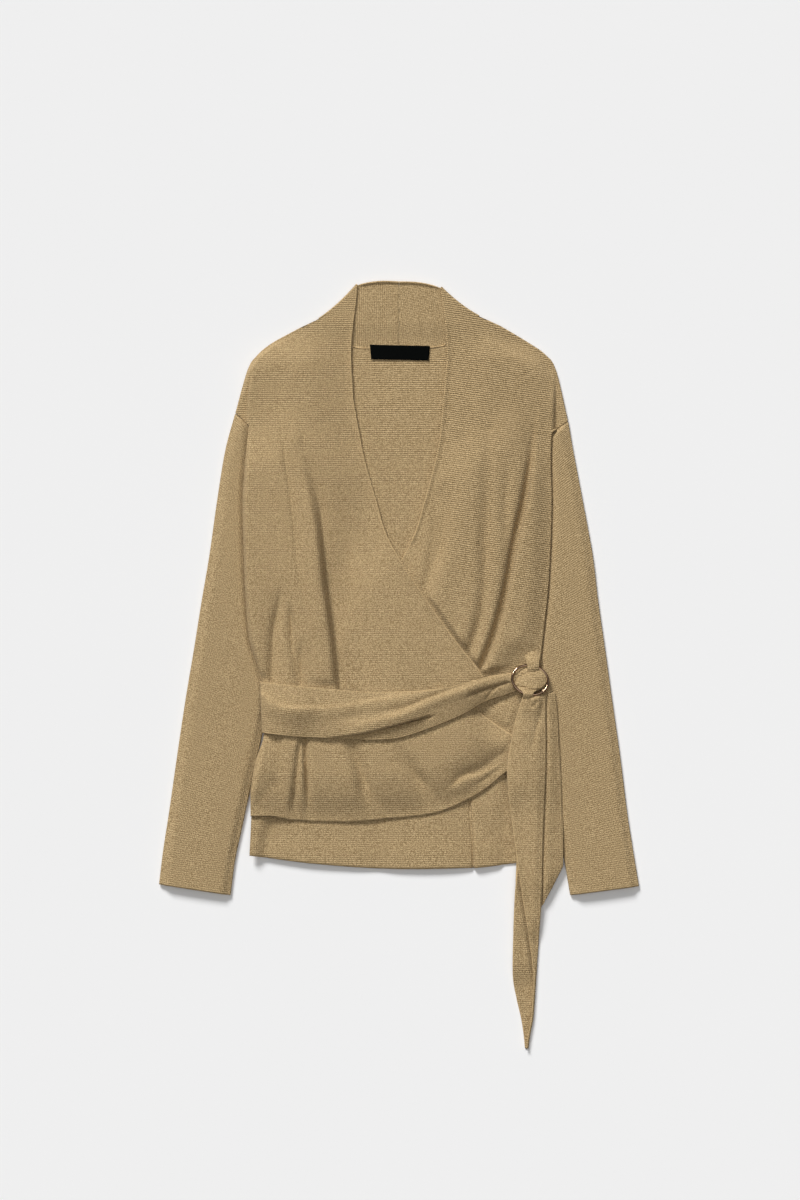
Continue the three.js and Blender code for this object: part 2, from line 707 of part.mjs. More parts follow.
// A sleeve: a flattened tube with a fold down each side
const SLEEVE_ACROSS = 6;
const SLEEVE_LOFT = 1.6;
function makeSleeve(name, table, bodyLayer) {
  const radius = (WALL + SLEEVE_HOLLOW) / 2;
  const inset = WALL / 2 + radius;
  const last = table.length - 1;
  const grid = [];
  for (let k = 0; k <= last * ROWS_PER_STEP; k += 1) {
    const v = k / ROWS_PER_STEP;
    const a = { x: along(table, "outX", v), y: along(table, "outY", v) };
    const b = { x: along(table, "inX", v), y: along(table, "inY", v) };
    const width = Math.hypot(b.x - a.x, b.y - a.y);
    const point = (distance, z) => {
      const u = distance / width;
      return new THREE.Vector3(mix(a.x, b.x, u), mix(a.y, b.y, u), z);
    };
    const loop = [];
    for (let j = 0; j <= SLEEVE_ACROSS; j += 1) {
      const share = j / SLEEVE_ACROSS;
      const p = point(inset + (width - 2 * inset) * share, WALL / 2 + 2 * radius);
      const free = 1 - cover(bodyLayer, p.x, p.y);
      p.z += SLEEVE_LOFT * Math.sin(Math.PI * share) * free;
      loop.push(p);
    }
    loop.push(point(width - WALL / 2, WALL / 2 + radius));
    for (let j = SLEEVE_ACROSS; j >= 0; j -= 1) {
      loop.push(point(inset + ((width - 2 * inset) * j) / SLEEVE_ACROSS, WALL / 2));
    }
    loop.push(point(WALL / 2, WALL / 2 + radius));
    grid.push(loop);
  }
  return clothMesh(name, clothWall(grid, WALL, true), KNIT);
}

// The sash across the waist, rolled down over the right side where it starts
const SASH_ACROSS = 9;
const SASH_ROLL = SIDE_ROLL + LAYER;
function makeSash() {
  const steps = [0, 0.025, 0.07, 0.25];
  for (let v = 0.5; v <= SASH.length - 1; v += 0.5) steps.push(v);
  const grid = steps.map((v) => {
    const top = { x: along(SASH, "topX", v), y: along(SASH, "topY", v) };
    const low = { x: along(SASH, "lowX", v), y: along(SASH, "lowY", v) };
    const row = [];
    for (let j = 0; j <= SASH_ACROSS; j += 1) {
      const x = mix(top.x, low.x, j / SASH_ACROSS);
      const y = mix(top.y, low.y, j / SASH_ACROSS);
      const edge = mix(SASH[0].topX, SASH[0].lowX, j / SASH_ACROSS);
      const rolled = rollDrop(x - edge + WALL / 2, SASH_ROLL);
      const z = heightOver(UNDER_SASH, x, y) + foldHeight(SASH_FOLDS, x, y) - rolled;
      row.push(new THREE.Vector3(x, y, z));
    }
    return row;
  });
  return clothMesh("sash_waist", clothWall(grid, WALL, false), KNIT);
}

// The long end, one strip folded lengthwise: near layer, fold, far layer
const TAIL_FOLD_RADIUS = 1.3;
const TAIL_LEAST_WIDTH = 0.6;
const TAIL_ACROSS = 4;
function makeTailLong() {
  const grid = [];
  for (let k = 0; k <= (TAIL_LONG.length - 1) * ROWS_PER_STEP; k += 1) {
    const v = k / ROWS_PER_STEP;
    const y = along(TAIL_LONG, "y", v);
    const near = along(TAIL_LONG, "near", v);
    const far = along(TAIL_LONG, "far", v);
    const turn = along(TAIL_LONG, "fold", v) - WALL / 2 - TAIL_FOLD_RADIUS;
    const base = (x) => heightOver(UNDER_TAIL_LONG, x, y);
    const row = [];
    const nearStart = Math.min(near, turn - TAIL_LEAST_WIDTH);
    for (let j = 0; j <= TAIL_ACROSS; j += 1) {
      const x = mix(nearStart, turn, j / TAIL_ACROSS);
      row.push(new THREE.Vector3(x, y, base(x) + 2 * TAIL_FOLD_RADIUS));
    }
    for (const angle of [45, 0, -45]) {
      const a = THREE.MathUtils.degToRad(angle);
      const x = turn + TAIL_FOLD_RADIUS * Math.cos(a);
      const z = base(turn) + TAIL_FOLD_RADIUS * (1 + Math.sin(a));
      row.push(new THREE.Vector3(x, y, z));
    }
    const farStart = Math.min(far, turn - TAIL_LEAST_WIDTH);
    for (let j = TAIL_ACROSS; j >= 0; j -= 1) {
      const x = mix(farStart, turn, j / TAIL_ACROSS);
      row.push(new THREE.Vector3(x, y, base(x)));
    }
    grid.push(row);
  }
  return clothMesh("tail_long", clothWall(grid, WALL, false), KNIT);
}

function makeTailShort() {
  const across = 4;
  const grid = [];
  for (let k = 0; k <= (TAIL_SHORT.length - 1) * ROWS_PER_STEP; k += 1) {
    const v = k / ROWS_PER_STEP;
    const a = { x: along(TAIL_SHORT, "leftX", v), y: along(TAIL_SHORT, "leftY", v) };
    const b = { x: along(TAIL_SHORT, "rightX", v), y: along(TAIL_SHORT, "rightY", v) };
    const row = [];
    for (let j = 0; j <= across; j += 1) {
      const x = mix(a.x, b.x, j / across);
      const y = mix(a.y, b.y, j / across);
      row.push(new THREE.Vector3(x, y, heightOver(UNDER_SASH, x, y)));
    }
    grid.push(row);
  }
  return clothMesh("tail_short", clothWall(grid, WALL, false), KNIT);
}

// A ribbon along a table of points, crowned across its width
const RIBBON_ACROSS = 6;
const RIBBON_CROWN = 0.16;
function ribbon(table) {
  const grid = [];
  for (let k = 0; k <= (table.length - 1) * ROWS_PER_STEP; k += 1) {
    const v = k / ROWS_PER_STEP;
    const half = along(table, "half", v);
    const row = [];
    for (let j = 0; j <= RIBBON_ACROSS; j += 1) {
      const s = (2 * j) / RIBBON_ACROSS - 1;
      const x = along(table, "x", v) + half * s;
      const z = along(table, "z", v) - RIBBON_CROWN * half * s * s;
      row.push(new THREE.Vector3(x, along(table, "y", v), z));
    }
    grid.push(row);
  }
  return clothWall(grid, WALL, false);
}

// Round metal ring, slightly oval, tipped up at its lower side
const RING_STEPS = 28;
const RING_SIDES = 8;
function makeRing() {
  const turn = THREE.MathUtils.degToRad(RING.turn);
  const tilt = THREE.MathUtils.degToRad(-RING.tilt);
  const frame = new THREE.Matrix4().makeRotationZ(turn);
  frame.multiply(new THREE.Matrix4().makeRotationX(tilt));
  frame.setPosition(RING.x, RING.y, RING.z);
  const points = [];
  const faces = [];
  for (let i = 0; i < RING_STEPS; i += 1) {
    const a = (i / RING_STEPS) * 2 * Math.PI;
    const centre = new THREE.Vector3(RING.major * Math.cos(a), RING.minor * Math.sin(a), 0);
    const out = new THREE.Vector3(RING.minor * Math.cos(a), RING.major * Math.sin(a), 0).normalize();
    for (let j = 0; j < RING_SIDES; j += 1) {
      const b = (j / RING_SIDES) * 2 * Math.PI;
      const p = centre.clone().addScaledVector(out, (RING.wire / 2) * Math.cos(b));
      p.z += (RING.wire / 2) * Math.sin(b);
      points.push(p.applyMatrix4(frame));
      const i2 = (i + 1) % RING_STEPS;
      const j2 = (j + 1) % RING_SIDES;
      const [p00, p01] = [i * RING_SIDES + j, i * RING_SIDES + j2];
      const [p10, p11] = [i2 * RING_SIDES + j, i2 * RING_SIDES + j2];
      faces.push(p00, p10, p11, p00, p11, p01);
    }
  }
  const metal = new THREE.MeshStandardMaterial({ color: GOLD, roughness: 0.25, metalness: 1 });
  const mesh = new THREE.Mesh(closedGeometry(points, faces), metal);
  mesh.name = "ring";
  return mesh;
}

function makeLabel() {
  const geometry = new THREE.BoxGeometry(LABEL.width, LABEL.height, LABEL.thick);
  const mesh = clothMesh("neck_label", geometry, BLACK);
  mesh.position.set(LABEL.x, LABEL.y - LABEL.height / 2, WALL + SEAM + LABEL.thick / 2);
  return mesh;
}

const cardigan = new THREE.Group();
cardigan.add(makeSleeve("sleeve_right", RIGHT_SLEEVE, BACK_LAYER));
cardigan.add(makeSleeve("sleeve_left", LEFT_SLEEVE, BACK_LAYER));
cardigan.add(makeBack());
cardigan.add(makeLeftFront());
cardigan.add(makeRightFront());
cardigan.add(makeLabel());
cardigan.add(makeSash());
cardigan.add(makeTailShort());
cardigan.add(makeTailLong());
cardigan.add(makeRing());
cardigan.add(clothMesh("sash_turn", ribbon(SASH_TURN), KNIT));
cardigan.add(clothMesh("ring_tab", ribbon(RING_TAB), KNIT));

export default cardigan;
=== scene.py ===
# Knitted wrap cardigan with a sash and a metal ring, laid flat and seen from straight above.
# Sizes are in millimetres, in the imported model's frame: X to the picture's right, Y towards the
# collar, Z up. Meshes are made in metres. "Right" and "left" are the wearer's.
import math

import bpy
import numpy as np
from mathutils import Matrix, Vector


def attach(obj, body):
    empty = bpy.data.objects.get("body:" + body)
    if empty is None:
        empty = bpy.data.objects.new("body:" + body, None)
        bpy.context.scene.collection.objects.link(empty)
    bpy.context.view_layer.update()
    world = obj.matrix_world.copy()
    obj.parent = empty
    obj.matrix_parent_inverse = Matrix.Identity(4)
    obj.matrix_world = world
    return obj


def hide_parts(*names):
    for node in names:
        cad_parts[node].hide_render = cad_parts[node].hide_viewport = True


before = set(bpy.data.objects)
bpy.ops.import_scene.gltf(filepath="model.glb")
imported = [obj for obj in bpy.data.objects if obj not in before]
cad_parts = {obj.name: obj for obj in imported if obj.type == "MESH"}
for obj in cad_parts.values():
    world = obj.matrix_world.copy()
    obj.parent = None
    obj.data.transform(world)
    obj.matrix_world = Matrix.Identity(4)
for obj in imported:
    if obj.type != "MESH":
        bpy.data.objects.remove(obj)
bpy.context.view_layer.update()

MM = 0.001
STEP = 2.4
FRONT_STEP = 2.0
SASH_STEP = 0.9

# Driving dimensions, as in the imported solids
WALL = 1.8
GAP = 0.8
LAYER = WALL + GAP
CLOTH = 1.5
SLEEVE_HOLLOW = 1.0
SLEEVE_THICK = 2 * WALL + SLEEVE_HOLLOW
SIDE_ROLL = 0.95
NECK_ROLL = LAYER / 2
NECK_DROP = 17.6
NECK_LEAN = 1.3
NECK_GAP = 0.5
NECK_SEAM_Y = 349
NECK_FOLD_BOW = 2.5
NECK_HALF_WIDTH = 95
COLLAR_TOP = 421
COLLAR_CROWN = 2
COLLAR_SEAM = 0.05
SEAM = 0.3
FRONT_WIDTH = 230
# Points for each of a table's rows when its length is measured
FINE_POINTS = 20
# The row of the sides and edges where the waist is, and from which the hems begin to show
WAIST_ROW = 12


class Table:
    """Rows of numbers that a smooth curve runs through, with kinks at the corner rows."""

    def __init__(self, rows, corners=()):
        self.rows = np.array(rows, float)
        self.corners = set(corners)

    def part(self, start, stop):
        kept = {k - start for k in self.corners if start <= k < stop}
        return Table(self.rows[start:stop], kept)

    def at(self, where):
        """The curve's rows at running row numbers."""
        where = np.asarray(where, float)
        last = len(self.rows) - 1
        i = np.clip(np.floor(where).astype(int), 0, last - 1)
        t = (where - i)[:, None]
        rows = self.rows
        forward = rows[i + 1] - rows[i]
        starts = np.isin(i, [0, *self.corners])[:, None]
        ends = np.isin(i + 1, [last, *self.corners])[:, None]
        before = rows[np.maximum(i - 1, 0)]
        after = rows[np.minimum(i + 2, last)]
        start_slope = np.where(starts, forward, (rows[i + 1] - before) / 2)
        end_slope = np.where(ends, forward, (after - rows[i]) / 2)
        t2, t3 = t * t, t * t * t
        value = (2 * t3 - 3 * t2 + 1) * rows[i] + (t3 - 2 * t2 + t) * start_slope
        return value + (3 * t2 - 2 * t3) * rows[i + 1] + (t3 - t2) * end_slope

    def even(self, step):
        """Running row numbers about one step apart along the longest of the table's points."""
        fine = np.linspace(0, len(self.rows) - 1, FINE_POINTS * len(self.rows))
        rows = self.at(fine)
        pairs = rows.reshape(len(rows), -1, 2)
        lengths = np.linalg.norm(np.diff(pairs, axis=0), axis=2).max(axis=1)
        run = np.concatenate([[0], np.cumsum(lengths)])
        count = max(int(run[-1] / step), 2)
        return np.interp(np.linspace(0, run[-1], count + 1), run, fine)


# Side edges of the body: neck point, shoulder, armhole seam (between the corners), side
RIGHT_SIDE = Table([
    (-89, 380), (-112, 367), (-140, 352), (-157, 338), (-167, 322), (-180, 276), (-165, 262),
    (-169, 224), (-172, 180), (-171, 136), (-169, 81), (-164, 26), (-149, -24), (-148, -75),
    (-158, -108), (-163, -139), (-163, -167), (-165, -210),
], corners=(5, 6))
LEFT_SIDE = Table([
    (89, 383), (113, 370), (142, 353), (162, 339), (173, 322), (186, 267), (168, 254), (167, 224),
    (168, 180), (167, 136), (164, 81), (158, 26), (153, -28), (156, -75), (161, -108),
    (163, -139), (164, -167), (165, -214),
], corners=(5, 6))
LEFT_FRONT_LOW = [(156, -52), (158, -73), (161, -91), (162, -108)]
LEFT_FRONT_SIDE = Table([*LEFT_SIDE.rows[: WAIST_ROW + 1], *LEFT_FRONT_LOW], (5, 6))
# The line where each side of the body folds over its sleeve
RIGHT_FOLD = [(-157, 338), (-160, 315), (-162.5, 300), (-164, 285), *RIGHT_SIDE.rows[6:]]
LEFT_FOLD = [(168.5, 330), (169, 312), (168.7, 291), (168.2, 270), *LEFT_SIDE.rows[6:]]

# Free front edges, row for row with the sides, from the collar's corner to the hem
RIGHT_EDGE = Table([
    (-47, 418), (-47.5, 397), (-50.5, 371), (-52.5, 346.5), (-52, 325.5), (-50, 290.5),
    (-45, 262), (-37.5, 224.5), (-25, 180.5), (-11, 136.5), (23, 81.5), (61.5, 26.5),
    (93.5, -16.5), (86, -47), (108, -67), (134, -83), (134, -107),
], corners=(15,))
LEFT_EDGE = Table([
    (47, 415), (48.5, 395), (50.5, 373), (52.5, 350), (52, 329), (47, 274), (44.5, 248),
    (40, 224.5), (28, 180.5), (14, 136.5), (-17.5, 81.5), (-51.5, 26.5), (-84.5, -28.5),
    (-113, -78), (-132, -111), (-148.5, -138.5), (-155, -158),
])

# Hems: fraction of the width from the side, and drop below a straight line
RIGHT_HEM = [
    (0, 0), (0.08, 4.5), (0.14, 12), (0.23, 19.5), (0.39, 29), (0.51, 33), (0.64, 37), (0.72, 36),
    (0.81, 29), (0.87, 21.5), (0.95, 7), (1, 0),
]
LEFT_HEM = [(0, 0), (0.14, -5), (0.27, 12), (0.43, 25), (0.66, 22), (0.83, 12), (1, 0)]
BACK_HEM = [(0, 0), (0.2, 8), (0.45, 13), (0.75, 11), (0.85, 7), (1, 0)]

# Sleeves from the armhole seam to the cuff: outer x, y and inner x, y
RIGHT_SLEEVE = Table([
    (-180.2, 275.4, -95, 196), (-191, 235, -100, 158), (-200, 180, -110, 114),
    (-208.5, 120, -120.5, 64), (-217, 70, -130, 26), (-226, 14, -140, -19),
    (-235, -40, -149.6, -75), (-244, -100, -161, -128), (-253, -163, -173, -183),
    (-259.5, -205, -180, -216), (-264, -242, -185, -254),
])
LEFT_SLEEVE = Table([
    (186.2, 266.4, 93.5, 198), (191.5, 235, 99, 158), (202, 180, 109, 114), (213, 120, 121, 64),
    (219, 70, 131, 26), (227, 14, 143, -19), (234.5, -40, 157, -75), (243, -100, 167, -128),
    (251, -163, 175.5, -183), (257.5, -205, 181.5, -216), (264, -244, 188, -254),
])

# Sash from the right side to the ring: top x, y and bottom x, y
SASH = Table([
    (-152, -19, -149.5, -75), (-110, -24, -110, -79), (-64, -28, -64, -81),
    (-32, -30.5, -30, -82.5), (1, -30, 1, -80), (34, -28, 36, -68.5), (63, -22.5, 69, -54.5),
    (94, -14.5, 94, -40.5), (115, -11, 118, -32.5), (131, -9.5, 133, -27), (143, -10, 144, -24),
])
# Long end: y, left edge of the near layer, the fold, left edge of the far layer
TAIL_LONG = Table([
    (-33, 136.4, 161, 139.7), (-53, 130, 160.8, 135), (-78, 124, 161, 130),
    (-117, 118.7, 160.8, 124), (-164, 122.7, 159, 125.4), (-218, 130, 157.5, 129),
    (-255, 135.3, 156.8, 127), (-301, 142.7, 154, 125.4), (-342, 147.5, 151.3, 125),
    (-368, 146.6, 149.6, 129.3), (-388, 145.1, 148.1, 133.9), (-407, 141.7, 144.7, 137),
    (-422.4, 139.5, 142.5, 138.5),
])
TAIL_SHORT = Table([
    (155, -36, 170.5, -30), (149, -52, 173, -46), (144, -79, 175, -79), (140, -130, 177.7, -130),
    (137.5, -164, 179.3, -164), (135, -198, 180.2, -198), (134, -222, 180.2, -222),
    (137, -252, 166, -249), (143, -280, 148, -283),
], corners=(6,))
# Ribbons: x, y, z and half width
SASH_TURN = Table([
    (148, -4.5, 13.4, 9), (147, -8, 15.4, 13.6), (146, -13, 17.4, 16.8), (144.8, -18, 18.4, 17.4),
    (143.6, -23, 19.4, 15.4), (142.4, -27, 21.2, 11), (141.6, -30.2, 23.2, 6.4),
    (141.2, -33, 23.9, 5.2), (141, -37, 21.6, 5.4), (140.8, -41, 18.2, 5.6),
])
RING_TAB = Table([
    (146, 26, 5.6, 11.6), (146, 18, 8.6, 10.4), (146.4, 9, 12.8, 8.4), (146.8, 2, 16.4, 6.6),
    (146.8, -4, 17, 5.9), (146.6, -9, 15.4, 5.2),
])
RING_CENTRE = (143.7, -17.2, 16.4)
RING_RADII = (20, 16.4)
RING_WIRE = 2.8
RING_TURN = -13
RING_TILT = -15

# Folds: height at the middle, width to the left of the path, width to its right, and the
# path's points with the share of the height there. Left and right are as seen along the path.
# A groove has a negative height. FOLDS are soft and CREASES come to a sharp bottom. In STEPS
# the left side is high, falls off over the first width and drops to the right over the second.
RIGHT_FOLDS = [
    (-11.8, 34, 7, [
        (-104, 239, 0.15), (-92, 199, 0.45), (-82, 152, 0.8), (-75, 85, 1), (-70, 51, 1.05),
        (-65, 10, 1.1), (-62, -25, 1),
    ]),
    (-1.6, 5, 5, [(28, 0, 0.3), (41, -22, 1)]),
    (-1.2, 14, 12, [(-30, 150, 0.2), (-20, 70, 1), (-12, 10, 0.4)]),
    (-6, 6, 20, [(-133, -80, 0.8), (-132, -120, 1), (-133, -168, 1)]),
    (-8, 7, 9, [(-54, -85, 0.5), (-42, -117, 1), (-36, -139, 1), (-29, -152, 0.4)]),
    (-7, 8, 12, [(2, -96, 0.3), (16, -119, 1), (26, -134, 1), (34, -148, 0.5)]),
    (1.2, 8, 8, [(52, -130, 0.2), (66, -134, 1), (88, -126, 1), (112, -114, 1)]),
]
RIGHT_CREASES = [
    (-3, 2.8, 8, [
        (-134, 277, 0.3), (-126, 229, 1), (-116, 152, 0.9), (-111, 101, 0.7), (-106, 68, 0.6),
        (-100, 34, 0.4), (-93, -23, 0.4),
    ]),
    (-7.5, 7, 5, [(-130, 80, 0.2), (-133, 60, 0.7), (-138, 34, 0.9), (-140, -19, 1)]),
    (-6.5, 3, 4, [(-119, 62, 0.2), (-118, 46, 1), (-116, 15, 0.7), (-111, -23, 0.6)]),
    (-7, 3, 4, [(-108, 22, 0.2), (-107.6, 4, 1), (-106, -23, 1)]),
    (-5, 2.6, 3.4, [(-108.5, -81, 1), (-113.5, -125, 1), (-119, -172, 1)]),
    (-9, 2.6, 6, [(-104, -82, 1), (-101, -125, 1), (-98.5, -172, 0.9)]),
    (-5.5, 7, 1.6, [
        (60, -132, 0.4), (70, -123, 1), (86, -119, 0.9), (100, -112, 0.9), (120, -101, 1),
    ]),
    (-4, 3, 2, [(86, -132, 0.2), (102, -122, 0.9), (118, -111, 1)]),
]
RIGHT_STEPS = [
    (8, 24, 5, [
        (-69, -25, 0.35), (-71, 10, 0.75), (-76, 51, 1.1), (-81, 85, 0.9), (-89, 152, 0.6),
        (-99, 199, 0.22), (-110, 239, 0),
    ]),
    (2.4, 16, 2.6, [
        (-93, -23, 0.2), (-100, 34, 0.3), (-106, 68, 0.6), (-111, 101, 0.9), (-116, 152, 1),
        (-126, 229, 1), (-134, 277, 0.3),
    ]),
    (5.5, 8, 2.2, [(-100.5, -172, 1), (-103, -125, 1), (-105.5, -82, 1)]),
    (2.6, 7, 2, [(-120.6, -172, 1), (-115, -125, 1), (-110.5, -82, 1)]),
    (3, 16, 9, [(-34, -156, 0.3), (-40, -139, 1), (-46, -117, 1), (-56, -88, 0.4)]),
    (2.4, 16, 10, [(34, -148, 0.5), (24, -134, 1), (10, -119, 1), (0, -104, 0.2)]),
]
LEFT_STEPS = [
    (6.5, 20, 5, [
        (88, -2, 1), (101, 33, 1), (112, 71, 1.1), (120, 110, 1.1), (125, 139, 1.1),
        (134, 178, 0.9), (139, 209, 0.7), (143, 240, 0.3),
    ]),
    (2.4, 14, 8, [(71, 8, 1), (81, 45, 1), (86, 83, 0.8), (86, 130, 0.4)]),
]
LEFT_FOLDS = [
    (-3.4, 6, 6, [(122, 225, 0.2), (118, 190, 0.8), (116.5, 160, 1), (117, 120, 0.1)]),
    (-6.5, 6, 8, [
        (99, 257, 0.3), (97, 202, 0.4), (96, 136, 0.85), (95, 83, 0.85), (89, 45, 1), (77, 10, 1),
    ]),
    (-6, 9, 8, [(51.7, 191, 0.3), (48, 169, 0.9), (43, 136, 1), (35, 103, 0.9), (29, 78, 0.7)]),
    (-1.6, 6, 6, [(142, 38.5, 0.5), (130.5, 10, 1)]),
    (-1.4, 5, 5, [(74, 300, 0.2), (72, 240, 0.8), (66, 190, 0.6)]),
]
LEFT_CREASES = [
    (-12, 2, 12, [
        (152.4, 287, 0), (148.5, 257, 0.55), (147, 236, 0.75), (143.6, 209, 0.85), (139, 178, 1),
        (130, 139, 1.1), (124.5, 110, 1.1), (117, 71.5, 1.05), (107, 33.6, 1), (93.5, -1, 0.95),
    ]),
    (-4, 3, 5, [(109, -36, 1), (104, -50, 1), (104, -62, 0.6)]),
    (-5, 2.4, 2.6, [(113, -38, 0.3), (121, -41, 1), (129, -45.5, 1)]),
    (-5, 2.4, 2.6, [(112, -73, 0.3), (121, -68.5, 1), (128, -63, 1)]),
]
SASH_FOLDS = [
    (3.6, 3, 12, [
        (-150, -33, 0.9), (-130, -46.5, 1.2), (-99, -49, 1), (-65, -47.5, 0.5), (-32, -42, 0.7),
        (1, -36, 0.9), (45, -27, 0.7), (78, -19, 0.5),
    ]),
    (3.2, 2.6, 8, [
        (-44, -66, 0.2), (-20, -60.5, 0.6), (1, -55, 1), (36, -39, 1), (71, -27, 1),
        (108, -15, 0.8), (121, -13, 0.6),
    ]),
    (-2, 4, 4, [(-24, -53, 0.2), (4, -48, 1), (45, -32.5, 1), (78, -20.5, 0.6)]),
    (-1.4, 6, 6, [(-70, -60, 0.2), (-50, -57, 1), (-30, -54, 0.3)]),
]
SASH_CREASES = [
    (-3.8, 1.6, 3, [(76.7, -33.7, 0.6), (88.6, -29, 1), (105.4, -24, 1), (118.8, -19.8, 1)]),
    (-2, 1.4, 1.4, [(105.4, -25.3, 1), (100.5, -30.8, 1), (95.7, -37.4, 0.6)]),
    (-4.8, 0.8, 1.6, [
        (-66, -80.6, 0.4), (-46, -77.5, 0.9), (-32, -74.7, 1), (-3.3, -67, 1), (18, -61, 1),
        (31, -57, 0.9), (36, -57.5, 0.3),
    ]),
]
SASH_STEPS = [
    (4.4, 18, 0.6, [
        (-70, -79.5, 0.6), (-46, -76.5, 1), (-32, -73.7, 1), (-3.3, -66, 1), (18, -60, 0.9),
        (30, -56.5, 0.5), (35, -55, 0.1),
    ]),
]
TAIL_CREASES = [
    (-2.4, 1.8, 3, [(157, -44, 0.5), (151, -69, 1), (145, -92, 0.5)]),
    (-2, 1.2, 1.2, [(142.3, -39, 1), (145.5, -46, 1), (151.5, -40, 1)]),
]
TAIL_FOLDS = [
    (-1.6, 9, 7, [(134, -110, 0.3), (133, -200, 1), (140, -290, 0.8), (144, -360, 0.3)]),
]
LUMP_CREASES = [
    (-1.8, 1, 1.6, [(124, -17.5, 1), (136, -11.5, 1), (149, -5.5, 0.6)]),
    (-2, 1, 1.8, [(129.3, -24, 0.8), (138.6, -25.4, 1), (144.5, -27.8, 1), (155, -27.6, 0.7)]),
]
BACK_FOLDS = [
    (-2.2, 12, 9, [(112, -168, 0.4), (114, -190, 1), (118, -218, 1)]),
    (-1.2, 14, 14, [(-30, -180, 0.3), (-24, -224, 1)]),
]
PLEAT = [(77.5, -146, 0.4), (79, -162, 1), (81.4, -199, 1), (82, -226, 1)]
BACK_CREASES = [(-5, 0.9, 1.4, PLEAT), (-1.6, 2, 12, PLEAT)]
BACK_STEPS = [(1.4, 14, 0.9, [(77.5, -146, 0), (79, -162, 0.8), (81.4, -199, 1), (82, -226, 1)])]
SOFT = 2
SHARP = 1.25
# Points on a fold's path for each of its rows, and the least length that is divided by
PATH_POINTS = 5
TINY = 1e-9


def ease(t):
    t = np.clip(t, 0, 1)
    return t * t * (3 - 2 * t)


def ramp(value, start, length):
    """0 up to the start and 1 past the length, smooth between them."""
    return ease((value - start) / length)


def size(vectors):
    return np.linalg.norm(vectors, axis=-1)


def to_segment(start, end, x, y):
    """Share along a segment of the point nearest to each x and y, and the distance to it."""
    dx, dy = end[0] - start[0], end[1] - start[1]
    along = (x - start[0]) * dx + (y - start[1]) * dy
    t = np.clip(along / max(dx * dx + dy * dy, TINY), 0, 1)
    return t, np.hypot(x - start[0] - dx * t, y - start[1] - dy * t)


def distance_to(line, x, y):
    """Distance to an open line."""
    nearest = np.full(x.shape, np.inf)
    for start, end in zip(line[:-1], line[1:]):
        nearest = np.minimum(nearest, to_segment(start, end, x, y)[1])
    return nearest


def signed_distance(outline, x, y):
    """Distance to a closed outline, positive inside it."""
    inside = np.zeros(x.shape, bool)
    for (ax, ay), (bx, by) in zip(outline, np.roll(outline, -1, axis=0)):
        if ay != by:
            inside ^= ((ay > y) != (by > y)) & (x < ax + (bx - ax) * (y - ay) / (by - ay))
    nearest = distance_to([*outline, outline[0]], x, y)
    return np.where(inside, nearest, -nearest)


def nearest_on_path(path, x, y):
    """Distance to a path, the side of it (positive on the left) and the share there."""
    points = Table(path).at(np.linspace(0, len(path) - 1, PATH_POINTS * len(path)))
    nearest = np.full(x.shape, np.inf)
    side = np.zeros(x.shape)
    share = np.zeros(x.shape)
    for start, end in zip(points[:-1], points[1:]):
        t, distance = to_segment(start, end, x, y)
        closer = distance < nearest
        nearest = np.where(closer, distance, nearest)
        turn = (end[0] - start[0]) * (y - start[1]) - (end[1] - start[1]) * (x - start[0])
        side = np.where(closer, turn, side)
        share = np.where(closer, start[2] + (end[2] - start[2]) * t, share)
    return nearest, side, share


def fold_relief(x, y, folds=(), creases=(), steps=()):
    """Sum of the folds, creases and steps at the points."""
    total = np.zeros(x.shape)
    for rows, power in ((folds, SOFT), (creases, SHARP)):
        for high, left, right, path in rows:
            nearest, side, share = nearest_on_path(path, x, y)
            width = np.where(side > 0, left, right)
            total += high * share * np.exp(-((nearest / width) ** power))
    for high, left, right, path in steps:
        nearest, side, share = nearest_on_path(path, x, y)
        over = np.where(side > 0, nearest, -nearest)
        drop = ease((over + right) / (2 * right))
        total += high * share * drop * np.exp(-((np.maximum(over, 0) / left) ** 2))
    return total


def pair_outline(table):
    """Outline of a piece whose rows hold two edges."""
    return np.concatenate([table.rows[:, :2], table.rows[::-1, 2:]])


def hem_line(side, edge, hem):
    start, end = side.rows[-1], edge.rows[-1]
    at, drop = np.array(hem).T
    line = start + (end - start) * at[:, None]
    line[:, 1] -= drop
    return line


def hem_drop(hem, u):
    """The hem's drop at fractions of its width."""
    at, drop = np.array(hem, float).T
    curve = Table(np.stack([drop, drop], axis=1))
    running = np.interp(u.ravel(), at, np.arange(len(at)))
    return curve.at(running)[:, 0].reshape(u.shape)


def panel_outline(side, edge, hem):
    return np.concatenate([side.rows, hem_line(side, edge, hem)[1:-1], edge.rows[::-1]])


def run_along(line):
    """Length of a line up to each of its points."""
    return np.concatenate([[0], np.cumsum(size(np.diff(line, axis=0)))])


def between(ends, share):
    """Points at shares of the way from the first to the second of each row's two ends."""
    return ends[:, None, :2] + (ends[:, None, 2:] - ends[:, None, :2]) * share[:, None]


class Layer:
    """A piece that others lie on: full height over it and a margin, then a ramp down."""

    def __init__(self, outline, height, margin, ramp_length):
        self.outline = np.array(outline, float)
        self.height = height
        self.margin = margin
        self.ramp_length = ramp_length

    def cover(self, x, y, margin=None, ramp_length=None):
        margin = self.margin if margin is None else margin
        ramp_length = self.ramp_length if ramp_length is None else ramp_length
        return ease(1 + (signed_distance(self.outline, x, y) + margin) / ramp_length)


# The right front's side ends a row above the back's hem
RIGHT_FRONT_SIDE = RIGHT_SIDE.part(0, len(RIGHT_SIDE.rows) - 1)
